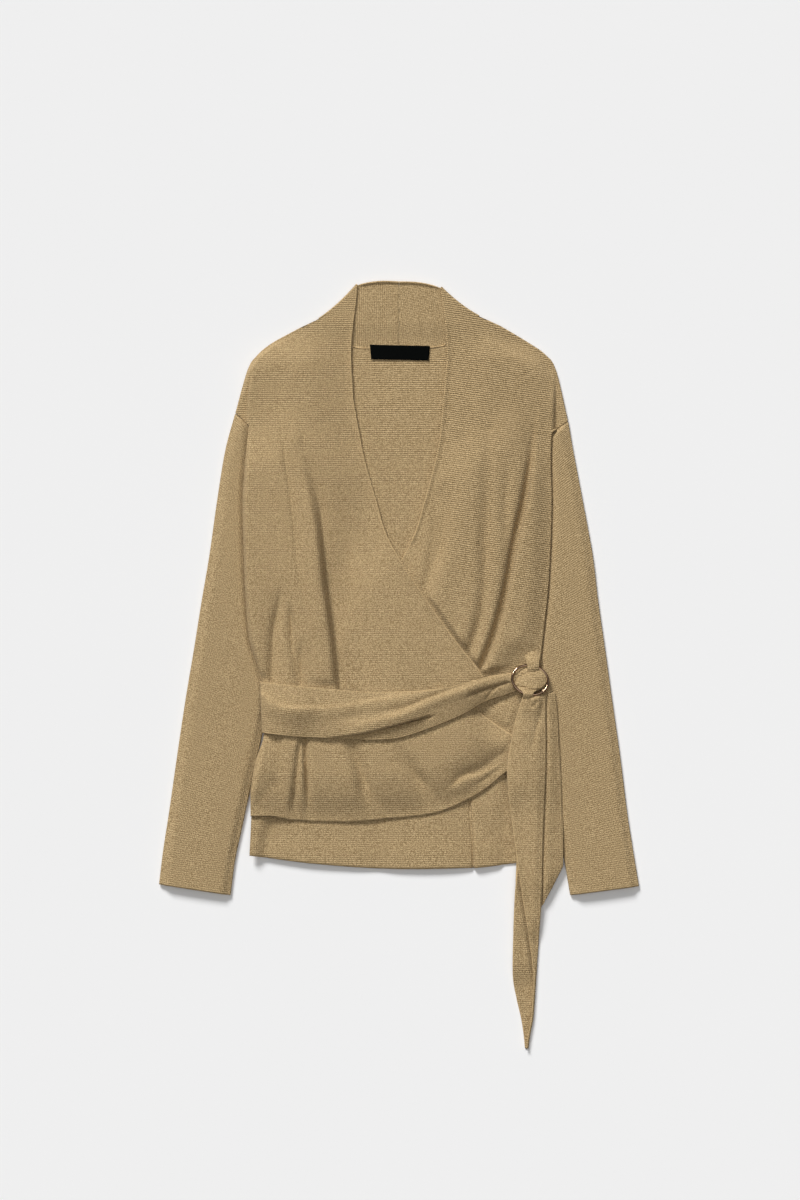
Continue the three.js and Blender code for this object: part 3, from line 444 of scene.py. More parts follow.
# The row of both fronts' edges that is just above the place where they cross
CROSSING_ROW = 9
ARMHOLE_ROWS = slice(5, 7)
body_outline = [*RIGHT_SIDE.rows, *LEFT_SIDE.rows[::-1], LEFT_EDGE.rows[0], RIGHT_EDGE.rows[0]]
right_sleeve_layer = Layer(pair_outline(RIGHT_SLEEVE), SLEEVE_THICK + GAP, 17, 44)
left_sleeve_layer = Layer(pair_outline(LEFT_SLEEVE), SLEEVE_THICK + GAP, 17, 44)
back_layer = Layer(body_outline, LAYER, 14, 40)
left_front_layer = Layer(panel_outline(LEFT_FRONT_SIDE, LEFT_EDGE, LEFT_HEM), LAYER, 20, 40)
right_front_outline = panel_outline(RIGHT_FRONT_SIDE, RIGHT_EDGE, RIGHT_HEM)
right_front_layer = Layer(right_front_outline, LAYER, 10, 34)
sash_layer = Layer(pair_outline(SASH), LAYER, 6, 14)
tail_short_layer = Layer(pair_outline(TAIL_SHORT), LAYER, 5, 20)
tail_edge = TAIL_LONG.rows[:, [1, 0]]
tail_fold = TAIL_LONG.rows[::-1, [2, 0]]
tail_long_layer = Layer(np.concatenate([tail_edge, tail_fold]), LAYER, 1, 7)
under_left_front = [back_layer]
under_right_front = [back_layer, left_front_layer]
under_sash = [back_layer, left_front_layer, right_front_layer]
under_tail_long = [*under_sash, tail_short_layer]

# Margin and ramp of a sleeve under the back and under the fronts, and near the fold over it
BACK_REACH = (17, 14)
FRONT_REACH = (17, 44)
FOLD_STEP = 3
CAP_BOTTOM = 258
BELOW_CAP = 60


def sleeve_lift(layer, fold, towards, x, y, reach):
    """How far a sleeve lifts the body. The cap of the shoulder, outside the fold, stays low."""
    fold = np.array(fold)[::-1]
    fold_x = np.interp(y, fold[:, 1], fold[:, 0])
    slack = np.where(y < CAP_BOTTOM, BELOW_CAP, 0)
    inward = (x - fold_x) * towards + slack
    return layer.height * layer.cover(x, y, *reach) * ease(1 + inward / FOLD_STEP)


def height_over(layers, x, y):
    """Height of a piece's mid-surface over what lies under it."""
    reach = FRONT_REACH if layers else BACK_REACH
    z = np.full(x.shape, WALL / 2)
    z += sleeve_lift(right_sleeve_layer, RIGHT_FOLD, 1, x, y, reach)
    z += sleeve_lift(left_sleeve_layer, LEFT_FOLD, -1, x, y, reach)
    for layer in layers:
        z += layer.height * layer.cover(x, y)
    return z


def slab(grid, thick, wraps=False):
    """Vertices and faces of a closed wall round a grid of mid-surface points."""
    rows, columns = grid.shape[:2]
    if wraps:
        across = np.roll(grid, -1, axis=1) - np.roll(grid, 1, axis=1)
    else:
        across = np.gradient(grid, axis=1)
    normal = np.cross(np.gradient(grid, axis=0), across)
    normal /= np.maximum(np.linalg.norm(normal, axis=2, keepdims=True), TINY)
    top = grid + normal * thick / 2
    bottom = grid - normal * thick / 2
    points = np.concatenate([top.reshape(-1, 3), bottom.reshape(-1, 3)])
    n = rows * columns
    k = np.arange(columns if wraps else columns - 1)
    k2 = (k + 1) % columns
    i, j = np.meshgrid(np.arange(rows - 1), k, indexing="ij")
    i, j = i.ravel(), j.ravel()
    j2 = (j + 1) % columns
    a, b = i * columns + j, (i + 1) * columns + j
    c, d = (i + 1) * columns + j2, i * columns + j2
    faces = [np.stack([a, b, c, d], axis=1), n + np.stack([a, d, c, b], axis=1)]
    if not wraps:
        r = np.arange(rows - 1) * columns
        s = r + columns
        faces.append(np.stack([r, n + r, n + s, s], axis=1))
        e = columns - 1
        faces.append(np.stack([r + e, s + e, n + s + e, n + r + e], axis=1))
    m = (rows - 1) * columns
    faces.append(np.stack([k, k2, n + k2, n + k], axis=1))
    faces.append(np.stack([m + k, n + m + k, n + m + k2, m + k2], axis=1))
    return points, np.concatenate(faces)


def add_mesh(name, points, faces, material):
    """A smooth object from points in metres."""
    mesh = bpy.data.meshes.new(name)
    mesh.from_pydata(points, [], faces)
    mesh.materials.append(material)
    mesh.shade_smooth()
    made = bpy.data.objects.new(name, mesh)
    bpy.context.collection.objects.link(made)
    return made


def add_cloth_data(mesh, uv, painted_highlight):
    """Each point's place in the cloth, in metres, and how near a free edge it is, which sets the
    painted highlight there.
    """
    corners = np.empty(len(mesh.loops), dtype=np.int32)
    mesh.loops.foreach_get("vertex_index", corners)
    layer = mesh.uv_layers.new(name="UVMap")
    layer.data.foreach_set("uv", uv[corners].astype(np.float32).ravel())
    attribute = mesh.attributes.new("edge", "FLOAT", "POINT")
    attribute.data.foreach_set("value", painted_highlight.astype(np.float32))


def cloth_object(name, grid, uv, material, painted_highlight=None, wraps=False, thick=CLOTH):
    """A cloth piece from its mid-surface grid."""
    points, faces = slab(grid, thick, wraps)
    a, b, c, d = (points[faces[:, k]] for k in range(4))
    volume = (a * np.cross(b, c)).sum() + (a * np.cross(c, d)).sum()
    if volume < 0:
        faces = faces[:, ::-1]
    made = add_mesh(name, (points * MM).tolist(), faces.tolist(), material)
    painted_highlight = np.zeros(grid.shape[:2]) if painted_highlight is None else painted_highlight
    add_cloth_data(made.data, np.tile(uv.reshape(-1, 2) * MM, (2, 1)), np.tile(painted_highlight.ravel(), 2))
    return made


# Reach of the painted highlight along free edges, in millimetres: on the fronts, hems and sleeves,
# and on the narrow strips.
FRONT_HIGHLIGHT_REACH = 1.7
NARROW_HIGHLIGHT_REACH = 1.2


def near_edge(distance, reach=FRONT_HIGHLIGHT_REACH):
    """1 at a free edge, 0 past its reach."""
    return np.clip(1 - distance / reach, 0, 1)


def near_hem(grid):
    return near_edge(size(grid[-1:, :, :2] - grid[..., :2]))


ROLL_ANGLES = np.radians([90, 72, 54, 36, 18, 0])
ROLL_COLUMNS = WALL / 2 + SIDE_ROLL * (1 - np.sin(ROLL_ANGLES))
# Half turns of cloth: round the neck fold, and round the sides of sleeves and the long end
NECK_TURN = np.radians(np.linspace(-90, 90, 11))[:, None]
SIDE_TURN = np.radians(np.linspace(90, -90, 9))[1:-1]


def roll_drop(distance, radius):
    """How far the surface drops near a side that rolls down with a radius."""
    inward = np.clip(distance - WALL / 2, 0, radius)
    return radius - np.sqrt(np.maximum(radius**2 - (radius - inward) ** 2, 0))


def column_distances(width):
    """Distances from a front's rolled side: close together round the roll, then even."""
    count = int(FRONT_WIDTH / FRONT_STEP)
    start = ROLL_COLUMNS[-1]
    rest = start + (width[:, None] - start) * (np.arange(1, count + 1) / count)
    return np.concatenate([np.tile(ROLL_COLUMNS, (len(width), 1)), rest], axis=1)


def neck_seam(side, t):
    x = side.rows[0, 0] * t
    chord = NECK_SEAM_Y + (side.rows[0, 1] - NECK_SEAM_Y) * t
    return np.stack([x, chord - NECK_DROP * np.sin(np.pi * t**NECK_LEAN)], axis=-1)


def ruled(start, end, distance):
    """Points on straight rows at distances from their starts, and their shares of the width."""
    u = np.clip(distance / size(end - start)[:, None], 0, 1)
    return start[:, None] + (end - start)[:, None] * u[..., None], u


def neck_fold_rows(side, edge):
    """Rows round the neck fold, the way out of it, its bow and the shift at its back."""
    start, end = side.rows[:1], edge.rows[:1]
    line = (end - start)[0] / size(end - start)
    out = np.array([-line[1], line[0]])
    if out[1] < 0:
        out = -out
    distance = column_distances(size(end - start))
    base, u = ruled(start, end, distance)
    bow = NECK_FOLD_BOW * 4 * u * (1 - u)
    base[..., 1] -= bow
    reach = NECK_ROLL * (np.cos(NECK_TURN) - 1) - WALL / 2
    in_front = (1 + np.sin(NECK_TURN)) / 2
    fold = np.zeros((len(NECK_TURN), distance.shape[1], 3))
    fold[..., :2] = base + reach[..., None] * out
    fold[..., 2] = WALL / 2 + NECK_ROLL * (1 + np.sin(NECK_TURN))
    fold[..., 2] -= in_front * roll_drop(distance, SIDE_ROLL)
    straight, _ = ruled(start, end, distance - WALL / 2)
    return fold, out, bow, fold[0, :, :2] - straight[0]


def collar_rows(side, edge, sign, shift):
    """Rows of the collar behind the neck, from the centre back to the neck fold."""
    t = np.arange(0, 1, STEP / NECK_HALF_WIDTH)
    seam = neck_seam(side, t)
    top = np.stack([edge.rows[0, 0] * t, COLLAR_TOP + (edge.rows[0, 1] - COLLAR_TOP) * t], axis=1)
    top[:, 1] += COLLAR_CROWN * np.sin(np.pi * t)
    for ends in (seam, top):
        ends[:, 0] += sign * COLLAR_SEAM * (1 - t)
    distance = column_distances(size(top - seam)) - WALL / 2
    rows = np.zeros((len(t), distance.shape[1], 3))
    rows[..., :2], _ = ruled(seam, top, distance)
    rows[..., :2] += shift * (t**3)[:, None, None]
    rows[..., 2] = WALL / 2
    return rows


def front_rows(side, edge, hem, out, bow, height_at):
    """Rows of the front from the shoulder to the hem."""
    both = Table(np.concatenate([side.rows, edge.rows], axis=1), side.corners | edge.corners)
    v = both.even(FRONT_STEP)[1:]
    ends = both.at(v)
    start, end = ends[:, :2], ends[:, 2:]
    distance = column_distances(size(end - start))
    rows = np.zeros((len(v), distance.shape[1], 3))
    rows[..., :2], u = ruled(start, end, distance)
    hem_share = ramp(v, WAIST_ROW, len(side.rows) - 1 - WAIST_ROW)
    rows[..., 1] -= hem_share[:, None] * hem_drop(hem, u)
    leaving = np.clip(1 - v, 0, 1)[:, None, None]
    rows[..., :2] -= leaving * out * (WALL / 2 + NECK_ROLL)
    rows[..., 1] -= leaving[..., 0] * bow
    x, y = rows[..., 0], rows[..., 1]
    rows[..., 2] = height_at(x, y, v[:, None] + 0 * x) - roll_drop(distance, SIDE_ROLL)
    return rows


def front_grid(side, edge, hem, sign, height_at):
    """Grid of a front with its half of the collar: centre back, neck fold, shoulder, hem."""
    fold, out, bow, shift = neck_fold_rows(side, edge)
    behind = collar_rows(side, edge, sign, shift)
    grid = np.concatenate([behind, fold, front_rows(side, edge, hem, out, bow, height_at)])
    grid[..., 2] += stand(grid[..., 0], grid[..., 1])
    # Collar ribs run across the strip behind the neck; elsewhere the grain follows X and Y
    uv = grid[..., :2].copy()
    swap = len(behind) + len(fold) // 2
    uv[:swap] = uv[:swap, :, ::-1]
    from_edge = size(grid[:, -1:, :2] - grid[..., :2])
    return grid, uv, np.maximum(near_edge(from_edge), near_hem(grid))


# The fronts' loft and how far it lifts what lies over it. A pair is where a ramp starts and
# how long it is.
LOFT = 8.0
UNDER_LIFT = 3.0
UNDER_LIFT_RAMP = 30
SASH_LIFT = 7.4
SASH_LIFT_SIDE = (-153, 14)
PULLED_IN = (66, 44)
LOOSE_COVER = (4, 30)
UNDER_SASH = (1.5, 11)
UNDER_FRONT = (1.5, 5)
UNDER_FRONT_EDGE = (0.4, 2)
UNDER_TAIL = (1, 6)
# How far from the free edges the loft is whole, and the folds
NECKLINE_FLAT = 52
HEM_FLAT = 54
LOW_EDGE_FLAT = 12
NECKLINE_FOLDS = 14
HEM_FOLDS = 5
LOW_EDGE_FOLDS = 8
RIGHT_SIDE_ROUND = 5
LEFT_SIDE_ROUND = 24
SHOULDER_ROWS = (1, 3)
CURL_ROWS = (1, 2)
ARMHOLE_FLAT = (6, 60)
RING_CLEAR = (17, 34)
PULLED_DOWN = (114, -50)
PULLED_CLEAR = (20, 26)
PULLED_SHARE = 0.75
EDGE_CURL = 1.1
UNDER_CURL = 1.6 * EDGE_CURL
EDGE_CURL_WIDTH = 6
EDGE_DIP = 1.0
EDGE_DIP_WIDTH = 4
LEFT_GRAIN = 9


def lift_share(x):
    """The layers lie loosely on each other, except near the ring where they are pulled in."""
    return 1 - ramp(x, *PULLED_IN)


def under_lift(x, y):
    """How far the left front's loft lifts what lies over it."""
    away = distance_to(hem_line(RIGHT_FRONT_SIDE, RIGHT_EDGE, RIGHT_HEM), x, y)
    cover = left_front_layer.cover(x, y, *LOOSE_COVER)
    return UNDER_LIFT * lift_share(x) * cover * ease(away / UNDER_LIFT_RAMP)


def sash_lift(x):
    """How far the fronts' loft lifts the sash."""
    return SASH_LIFT * lift_share(x) * ramp(x, *SASH_LIFT_SIDE)


# The collar's top edge stands a little and its lip curls up behind the neck
COLLAR_HALF_WIDTH = 48
COLLAR_POINTS = 25
COLLAR_LEFT_DROP = 6.0
COLLAR_RIGHT_DROP = 3.0
COLLAR_STAND = 2
STAND_RAMP = (352, 26)
LIP_RISE = 2.6
LIP_WIDTH = 5
LIP_ENDS = 50
LIP_RAMP = 12


def collar_top_line():
    share = np.linspace(-1, 1, COLLAR_POINTS)
    left_drop = COLLAR_LEFT_DROP * np.maximum(share, 0)
    right_drop = COLLAR_RIGHT_DROP * np.minimum(share, 0)
    y = COLLAR_TOP - left_drop + right_drop + COLLAR_CROWN * np.sin(np.pi * np.abs(share))
    return np.stack([COLLAR_HALF_WIDTH * share, y], axis=1)


collar_top = collar_top_line()


def stand(x, y):
    """How far the collar stands up."""
    lip = LIP_RISE * ease((LIP_ENDS - np.abs(x)) / LIP_RAMP)
    near_top = ease(1 - distance_to(collar_top, x, y) / LIP_WIDTH)
    return COLLAR_STAND * ramp(y, *STAND_RAMP) + lip * near_top


def clear_of_knot(x, y):
    """0 at the ring and the hanging ends, 1 away from them."""
    from_ring = np.hypot(x - RING_CENTRE[0], y - RING_CENTRE[1])
    from_pull = np.hypot(x - PULLED_DOWN[0], y - PULLED_DOWN[1])
    pulled = 1 - ramp(from_pull, *PULLED_CLEAR)
    away = ramp(from_ring, *RING_CLEAR) * (1 - PULLED_SHARE * pulled)
    return away * (1 - tail_long_layer.cover(x, y))


def capped(relief, limit, covered):
    """Relief held down to a limit where another layer covers it."""
    return relief + covered * (np.minimum(relief, limit) - relief)


def loft_and_folds(side, side_round, edge, hem, x, y, v):
    """How much of the loft and of the folds there is: loft fades slowly towards free edges."""
    neckline = distance_to(edge.rows[: WAIST_ROW + 1], x, y)
    low_edge = distance_to(edge.rows[WAIST_ROW:], x, y)
    to_hem = distance_to(hem_line(side, edge, hem), x, y)
    armhole_x, armhole_y = side.rows[ARMHOLE_ROWS].mean(axis=0)
    armhole = np.hypot(x - armhole_x, y - armhole_y)
    both = ease(distance_to(side.rows, x, y) / side_round) * ramp(armhole, *ARMHOLE_FLAT)
    both = both * ramp(v, *SHOULDER_ROWS) * clear_of_knot(x, y)
    loft = ease(neckline / NECKLINE_FLAT) * ease(to_hem / HEM_FLAT)
    loft = loft * ease(low_edge / LOW_EDGE_FLAT)
    folds = ease(neckline / NECKLINE_FOLDS) * ease(to_hem / HEM_FOLDS)
    folds = folds * ease(low_edge / LOW_EDGE_FOLDS)
    return both * loft, both * folds


def edge_curl(high, rows, x, y, v):
    """How far a free front edge curls up."""
    return high * (1 - ease(distance_to(rows, x, y) / EDGE_CURL_WIDTH)) * ramp(v, *CURL_ROWS)


def right_front_height(x, y, v):
    side = RIGHT_FRONT_SIDE
    loft, folds = loft_and_folds(side, RIGHT_SIDE_ROUND, RIGHT_EDGE, RIGHT_HEM, x, y, v)
    relief = LOFT * loft + folds * fold_relief(x, y, RIGHT_FOLDS, RIGHT_CREASES, RIGHT_STEPS)
    relief = capped(np.maximum(relief, 0), sash_lift(x), sash_layer.cover(x, y, *UNDER_SASH))
    relief += edge_curl(EDGE_CURL, RIGHT_EDGE.rows[: WAIST_ROW + 1], x, y, v)
    return height_over(under_right_front, x, y) + under_lift(x, y) + relief


def left_front_height(x, y, v):
    side = LEFT_FRONT_SIDE
    loft, folds = loft_and_folds(side, LEFT_SIDE_ROUND, LEFT_EDGE, LEFT_HEM, x, y, v)
    relief = LOFT * loft + folds * fold_relief(x, y, LEFT_FOLDS, LEFT_CREASES, LEFT_STEPS)
    relief = np.maximum(relief, 0)
    under_front = right_front_layer.cover(x, y, *UNDER_FRONT)
    relief = capped(relief, UNDER_LIFT * lift_share(x), under_front)
    relief = capped(relief, sash_lift(x), sash_layer.cover(x, y, *UNDER_SASH))
    over_edge = distance_to(RIGHT_EDGE.rows[CROSSING_ROW : WAIST_ROW + 1], x, y)
    dip = EDGE_DIP * np.exp(-((over_edge / EDGE_DIP_WIDTH) ** 2))
    relief -= np.minimum(relief, dip)
    free = 1 - right_front_layer.cover(x, y, *UNDER_FRONT_EDGE)
    own_edge = LEFT_EDGE.rows[: CROSSING_ROW + 1]
    relief += edge_curl(UNDER_CURL, own_edge, x, y, v) * free
    relief = relief * (1 - tail_short_layer.cover(x, y, *UNDER_TAIL))
    return height_over(under_left_front, x, y) + relief


def make_right_front(material):
    side = RIGHT_FRONT_SIDE
    grid, uv, painted_highlight = front_grid(side, RIGHT_EDGE, RIGHT_HEM, -1, right_front_height)
    return cloth_object("front_right_knit", grid, uv, material, painted_highlight)


def make_left_front(material):
    """The left front: its grain slants a little."""
    side = LEFT_FRONT_SIDE
    grid, uv, painted_highlight = front_grid(side, LEFT_EDGE, LEFT_HEM, 1, left_front_height)
    turn = math.radians(LEFT_GRAIN)
    slanted = uv @ np.array([[math.cos(turn), math.sin(turn)], [-math.sin(turn), math.cos(turn)]])
    return cloth_object("front_left_knit", grid, slanted, material, painted_highlight)


# The back's rows are longer than the fronts', and its lower part lies loosely
BACK_ROW_STEP = 1.4 * STEP
BACK_COLUMN_STEP = 1.2
BACK_WIDTH = 330
NECK_ROWS = 5
BACK_ROLL_ROWS = (13, 2)
HEM_LIFT = 2.7
HEM_LIFT_RAMP = (1, 13)
HEM_LIFT_TOP = -60
HEM_WAVE = 0.2
HEM_WAVE_LENGTH = 21
HEM_CURL = 1.0
HEM_CURL_RAMP = 24
HEM_CURL_START = -186
HEM_UNDER_TAIL = (108, 12)
PLEAT_COLUMNS = np.linspace(0.722, 0.762, 40)


def back_lift(x, y):
    """How far the back's lower part rises off the floor, with its folds and its pleat."""
    beyond = -signed_distance(left_front_layer.outline, x, y)
    wave = 1 + HEM_WAVE * np.sin(x / HEM_WAVE_LENGTH)
    lift = HEM_LIFT * wave * ramp(beyond, *HEM_LIFT_RAMP) * (y < HEM_LIFT_TOP)
    lift += HEM_CURL * ease((HEM_CURL_START - y) / HEM_CURL_RAMP)
    lift *= 1 - ramp(x, *HEM_UNDER_TAIL)
    return np.maximum(lift + fold_relief(x, y, BACK_FOLDS, BACK_CREASES, BACK_STEPS), 0)


def make_back(material):
    """The back: its top row follows the neck seam, its sides and shoulders roll up."""
    both = Table(np.concatenate([RIGHT_SIDE.rows, LEFT_SIDE.rows], axis=1), RIGHT_SIDE.corners)
    v = both.even(BACK_ROW_STEP)
    ends = both.at(v)
    start, end = ends[:, :2], ends[:, 2:]
    width = size(end - start)[:, None]
    even = np.linspace(0, 1, int(BACK_WIDTH / STEP / BACK_COLUMN_STEP) + 1)[1:-1]
    middle = np.tile(np.sort(np.concatenate([even, PLEAT_COLUMNS])), (len(v), 1))
    low = ROLL_COLUMNS / width
    u = np.concatenate([low, middle, 1 - low[:, ::-1]], axis=1)
    xy = start[:, None] + (end - start)[:, None] * u[..., None]
    t = np.abs(2 * u - 1)
    seam = np.where(u < 0.5, neck_seam(RIGHT_SIDE, t)[..., 1], neck_seam(LEFT_SIDE, t)[..., 1])
    chord = RIGHT_SIDE.rows[0, 1] + (LEFT_SIDE.rows[0, 1] - RIGHT_SIDE.rows[0, 1]) * u
    neck_share = (1 - ease(v / NECK_ROWS))[:, None]
    hem_share = ramp(v, WAIST_ROW, len(RIGHT_SIDE.rows) - 1 - WAIST_ROW)[:, None]
    x = xy[..., 0]
    y = xy[..., 1] + (seam - chord - NECK_GAP) * neck_share - hem_share * hem_drop(BACK_HEM, u)
    edge = np.minimum(u, 1 - u) * width
    rolled = (1 - ramp(v, *BACK_ROLL_ROWS))[:, None]
    z = height_over([], x, y) + rolled * roll_drop(edge, SIDE_ROLL) + back_lift(x, y)
    grid = np.stack([x, y, z], axis=-1)
    return cloth_object("back_knit", grid, grid[..., :2].copy(), material, near_hem(grid))


SLEEVE_WIDTH = 90
SLEEVE_LOFT = 4.2
SLEEVE_SIDE = 9
SLEEVE_CROWN = 0.15
SLEEVE_FREE = (0.4, 3.8)


def make_sleeve(name, table, material):
    """A flattened tube with a fold down each side."""
    radius = (WALL + SLEEVE_HOLLOW) / 2
    v = table.even(STEP)
    ends = table.at(v)
    a, b = ends[:, :2], ends[:, 2:]
    width = size(b - a)[:, None]
    inset = WALL / 2 + radius
    share = np.linspace(0, 1, int(SLEEVE_WIDTH / STEP))
    top = inset + (width - 2 * inset) * share
    right = width - inset + radius * np.cos(SIDE_TURN)
    left = np.tile(inset - radius * np.cos(SIDE_TURN[::-1]), (len(v), 1))
    distance = np.concatenate([top, right, top[:, ::-1], left], axis=1)
    high = np.full(len(share), WALL / 2 + 2 * radius)
    low = np.full(len(share), WALL / 2)
    turn = WALL / 2 + radius + radius * np.sin(SIDE_TURN)
    z = np.tile(np.concatenate([high, turn, low, turn[::-1]]), (len(v), 1))
    xy, _ = ruled(a, b, distance)
    x, y = xy[..., 0], xy[..., 1]
    sides = np.minimum(ease(share * width / SLEEVE_SIDE), ease((1 - share) * width / SLEEVE_SIDE))
    loft = np.zeros(distance.shape)
    crown = 1 - SLEEVE_CROWN + SLEEVE_CROWN * np.sin(np.pi * share)
    loft[:, : len(share)] = SLEEVE_LOFT * sides * crown
    z += loft * (1 - back_layer.cover(x, y, *SLEEVE_FREE))
    grid = np.stack([x, y, z], axis=-1)
    run = run_along((a + b) / 2)
    uv = np.stack([distance, np.tile(-run[:, None], (1, distance.shape[1]))], axis=-1)
    painted_highlight = np.tile(near_edge(run[-1] - run)[:, None], (1, distance.shape[1]))
    return cloth_object(name, grid, uv, material, painted_highlight, wraps=True)


SASH_WIDTH = 56
SASH_ROLL = SIDE_ROLL + LAYER
SASH_LOFT = 3.4
SASH_EDGE_SHARE = 0.15
SASH_END = (122, 14)
# Rows close together where the sash rolls round the side
SASH_ROLL_ROWS = [0, 0.003, 0.01, 0.02, 0.035, 0.05, 0.07, 0.085]
SASH_EVEN_FROM = 0.1


def make_sash(material):
    v = SASH.even(2 * SASH_STEP)
    v = np.concatenate([SASH_ROLL_ROWS, v[v > SASH_EVEN_FROM]])
    ends = SASH.at(v)
    share = np.linspace(0, 1, int(SASH_WIDTH / SASH_STEP) + 1)
    xy = between(ends, share)
    x, y = xy[..., 0], xy[..., 1]
    side = SASH.rows[0, 0] + (SASH.rows[0, 2] - SASH.rows[0, 0]) * share
    rolled = roll_drop(x - side + WALL / 2, SASH_ROLL)
    rim = SASH_EDGE_SHARE + (1 - SASH_EDGE_SHARE) * np.sin(np.pi * share)
    relief = SASH_LOFT * rim + fold_relief(x, y, SASH_FOLDS, SASH_CREASES, SASH_STEPS)
    relief = np.maximum(relief, 0) * (1 - ramp(x, *SASH_END))
    z = height_over(under_sash, x, y) + under_lift(x, y) + sash_lift(x) + relief - rolled
    grid = np.stack([x, y, z], axis=-1)
    along = np.tile(run_along((ends[:, :2] + ends[:, 2:]) / 2)[:, None], (1, len(share)))
    uv = np.stack([along, np.tile(-SASH_WIDTH * share, (len(v), 1))], axis=-1)
    across = size(ends[:, :2] - ends[:, 2:])[:, None]
    painted_highlight = near_edge(np.minimum(share, 1 - share) * across, NARROW_HIGHLIGHT_REACH)
    return cloth_object("sash_knit", grid, uv, material, painted_highlight)


# The long end. A pair is how far down a ramp starts and how long it is.
TAIL_WIDTH = 42
TAIL_FOLD_RADIUS = 1.05
TAIL_LEAST_WIDTH = 0.6
TAIL_LOFT = 2.0
TAIL_EDGE_RIM = 5
TAIL_FOLD_RIM = 7
TAIL_CURL = 1.4
TAIL_CURL_WIDTH = 7
TAIL_CURLS = (85, 40)
KNOT_RISE = 4.2
KNOT_RISES = (34.5, 2.5)
KNOT_FALLS = (38, 26)
KNOT_SIDE = 9
FAR_RISE = 4.2
FAR_RISE_WIDTH = 4.5
FAR_OPENS = (205, 20)
FAR_CLOSES = (328, 30)


def near_layer_height(x, y, from_edge, from_fold):
    """Height of the long end's upper layer."""
    z = height_over(under_tail_long, x, y) + 2 * TAIL_FOLD_RADIUS
    rim = ease(from_edge / TAIL_EDGE_RIM) * ease(from_fold / TAIL_FOLD_RIM)
    z += np.maximum(TAIL_LOFT * rim + fold_relief(x, y, TAIL_FOLDS, TAIL_CREASES), 0)
    rise = KNOT_RISE * ramp(-y, *KNOT_RISES) * (1 - ramp(-y, *KNOT_FALLS))
    z += rise * ease(from_fold / KNOT_SIDE)
    return z + TAIL_CURL * (1 - ease(from_edge / TAIL_CURL_WIDTH)) * ramp(-y, *TAIL_CURLS)


def make_tail_long(material):
    """One strip folded lengthwise: near layer, fold, far layer."""
    length = TAIL_LONG.rows[0, 0] - TAIL_LONG.rows[-1, 0]
    v = np.linspace(0, len(TAIL_LONG.rows) - 1, int(length / STEP))
    y, near_x, fold_x, far_x = (column[:, None] for column in TAIL_LONG.at(v).T)
    turn = fold_x - WALL / 2 - TAIL_FOLD_RADIUS
    near_start = np.minimum(near_x, turn - TAIL_LEAST_WIDTH)
    far_start = np.minimum(far_x, turn - TAIL_LEAST_WIDTH)
    share = np.linspace(0, 1, int(TAIL_WIDTH / STEP) + 2)
    x_near = near_start + (turn - near_start) * share
    x_turn = turn + TAIL_FOLD_RADIUS * np.cos(SIDE_TURN)
    x_far = (far_start + (turn - far_start) * share)[:, ::-1]
    z_near = near_layer_height(x_near, y + 0 * x_near, x_near - near_start, turn - x_near)
    z_turn = height_over(under_tail_long, turn, y) + TAIL_FOLD_RADIUS * (1 + np.sin(SIDE_TURN))
    z_far = height_over(under_tail_long, x_far, y + 0 * x_far)
    opened = ramp(-y, *FAR_OPENS) * (1 - ramp(-y, *FAR_CLOSES))
    z_far += FAR_RISE * ease((near_start - x_far) / FAR_RISE_WIDTH) * opened
    x = np.concatenate([x_near, x_turn, x_far], axis=1)
    z = np.concatenate([z_near, z_turn, z_far], axis=1)
    grid = np.stack([x, y + 0 * x, z], axis=-1)
    u = np.concatenate([x_near, x_turn, 2 * turn - x_far], axis=1)
    uv = np.stack([u, y + 0 * x], axis=-1)
    painted_highlight = np.zeros(x.shape)
    painted_highlight[:, : len(share)] = near_edge(x_near - near_start, NARROW_HIGHLIGHT_REACH)
    painted_highlight[:, -len(share) :] = near_edge(x_far - far_start, NARROW_HIGHLIGHT_REACH)
    return cloth_object("tail_long_knit", grid, uv, material, painted_highlight)


SHORT_WIDTH = 45
BESIDE_FOLD = 2.2
BESIDE_RISES = (0.6, 2.4)
BESIDE_FALLS = (3, 12)
SHORT_EDGE_DROP = 1.6
SHORT_EDGE_WIDTH = 9


def make_tail_short(material):
    """The short end: it rises beside the long end's fold and falls to its own free edge."""
    v = TAIL_SHORT.even(STEP)
    ends = TAIL_SHORT.at(v)
    share = np.linspace(0, 1, int(SHORT_WIDTH / STEP) + 1)
    xy = between(ends, share)
    x, y = xy[..., 0], xy[..., 1]
    to_edge = (1 - share) * size(ends[:, :2] - ends[:, 2:])[:, None]
    beyond = x - np.interp(-y, -TAIL_LONG.rows[:, 0], TAIL_LONG.rows[:, 2])
    beside = ramp(beyond, *BESIDE_RISES) * (1 - ramp(beyond, *BESIDE_FALLS))
    low = SHORT_EDGE_DROP * (1 - ease(to_edge / SHORT_EDGE_WIDTH))
    z = height_over(under_sash, x, y) + BESIDE_FOLD * beside - low
    grid = np.stack([x, y, z], axis=-1)
    painted_highlight = near_edge(to_edge, NARROW_HIGHLIGHT_REACH)
    return cloth_object("tail_short_knit", grid, xy.copy(), material, painted_highlight)


RIBBON_STEP = 0.7
RIBBON_COLUMNS = 41
LUMP_CROWN = 0.24
TAB_CROWN = 0.3


def make_ribbon(name, table, material, crown, creases=()):
    """A strip bent over its own length, higher along its middle."""
    run = run_along(table.rows[:, :3])[-1]
    v = np.linspace(0, len(table.rows) - 1, int(run / RIBBON_STEP))
    x, y, z, half = (column[:, None] for column in table.at(v).T)
    s = np.linspace(-1, 1, RIBBON_COLUMNS)
    xx = x + half * s
    yy = y + 0 * xx
    zz = z - crown * half * s * s + fold_relief(xx, yy, creases=creases)
    grid = np.stack([xx, yy, zz], axis=-1)
    return cloth_object(name, grid, grid[..., :2].copy(), material)


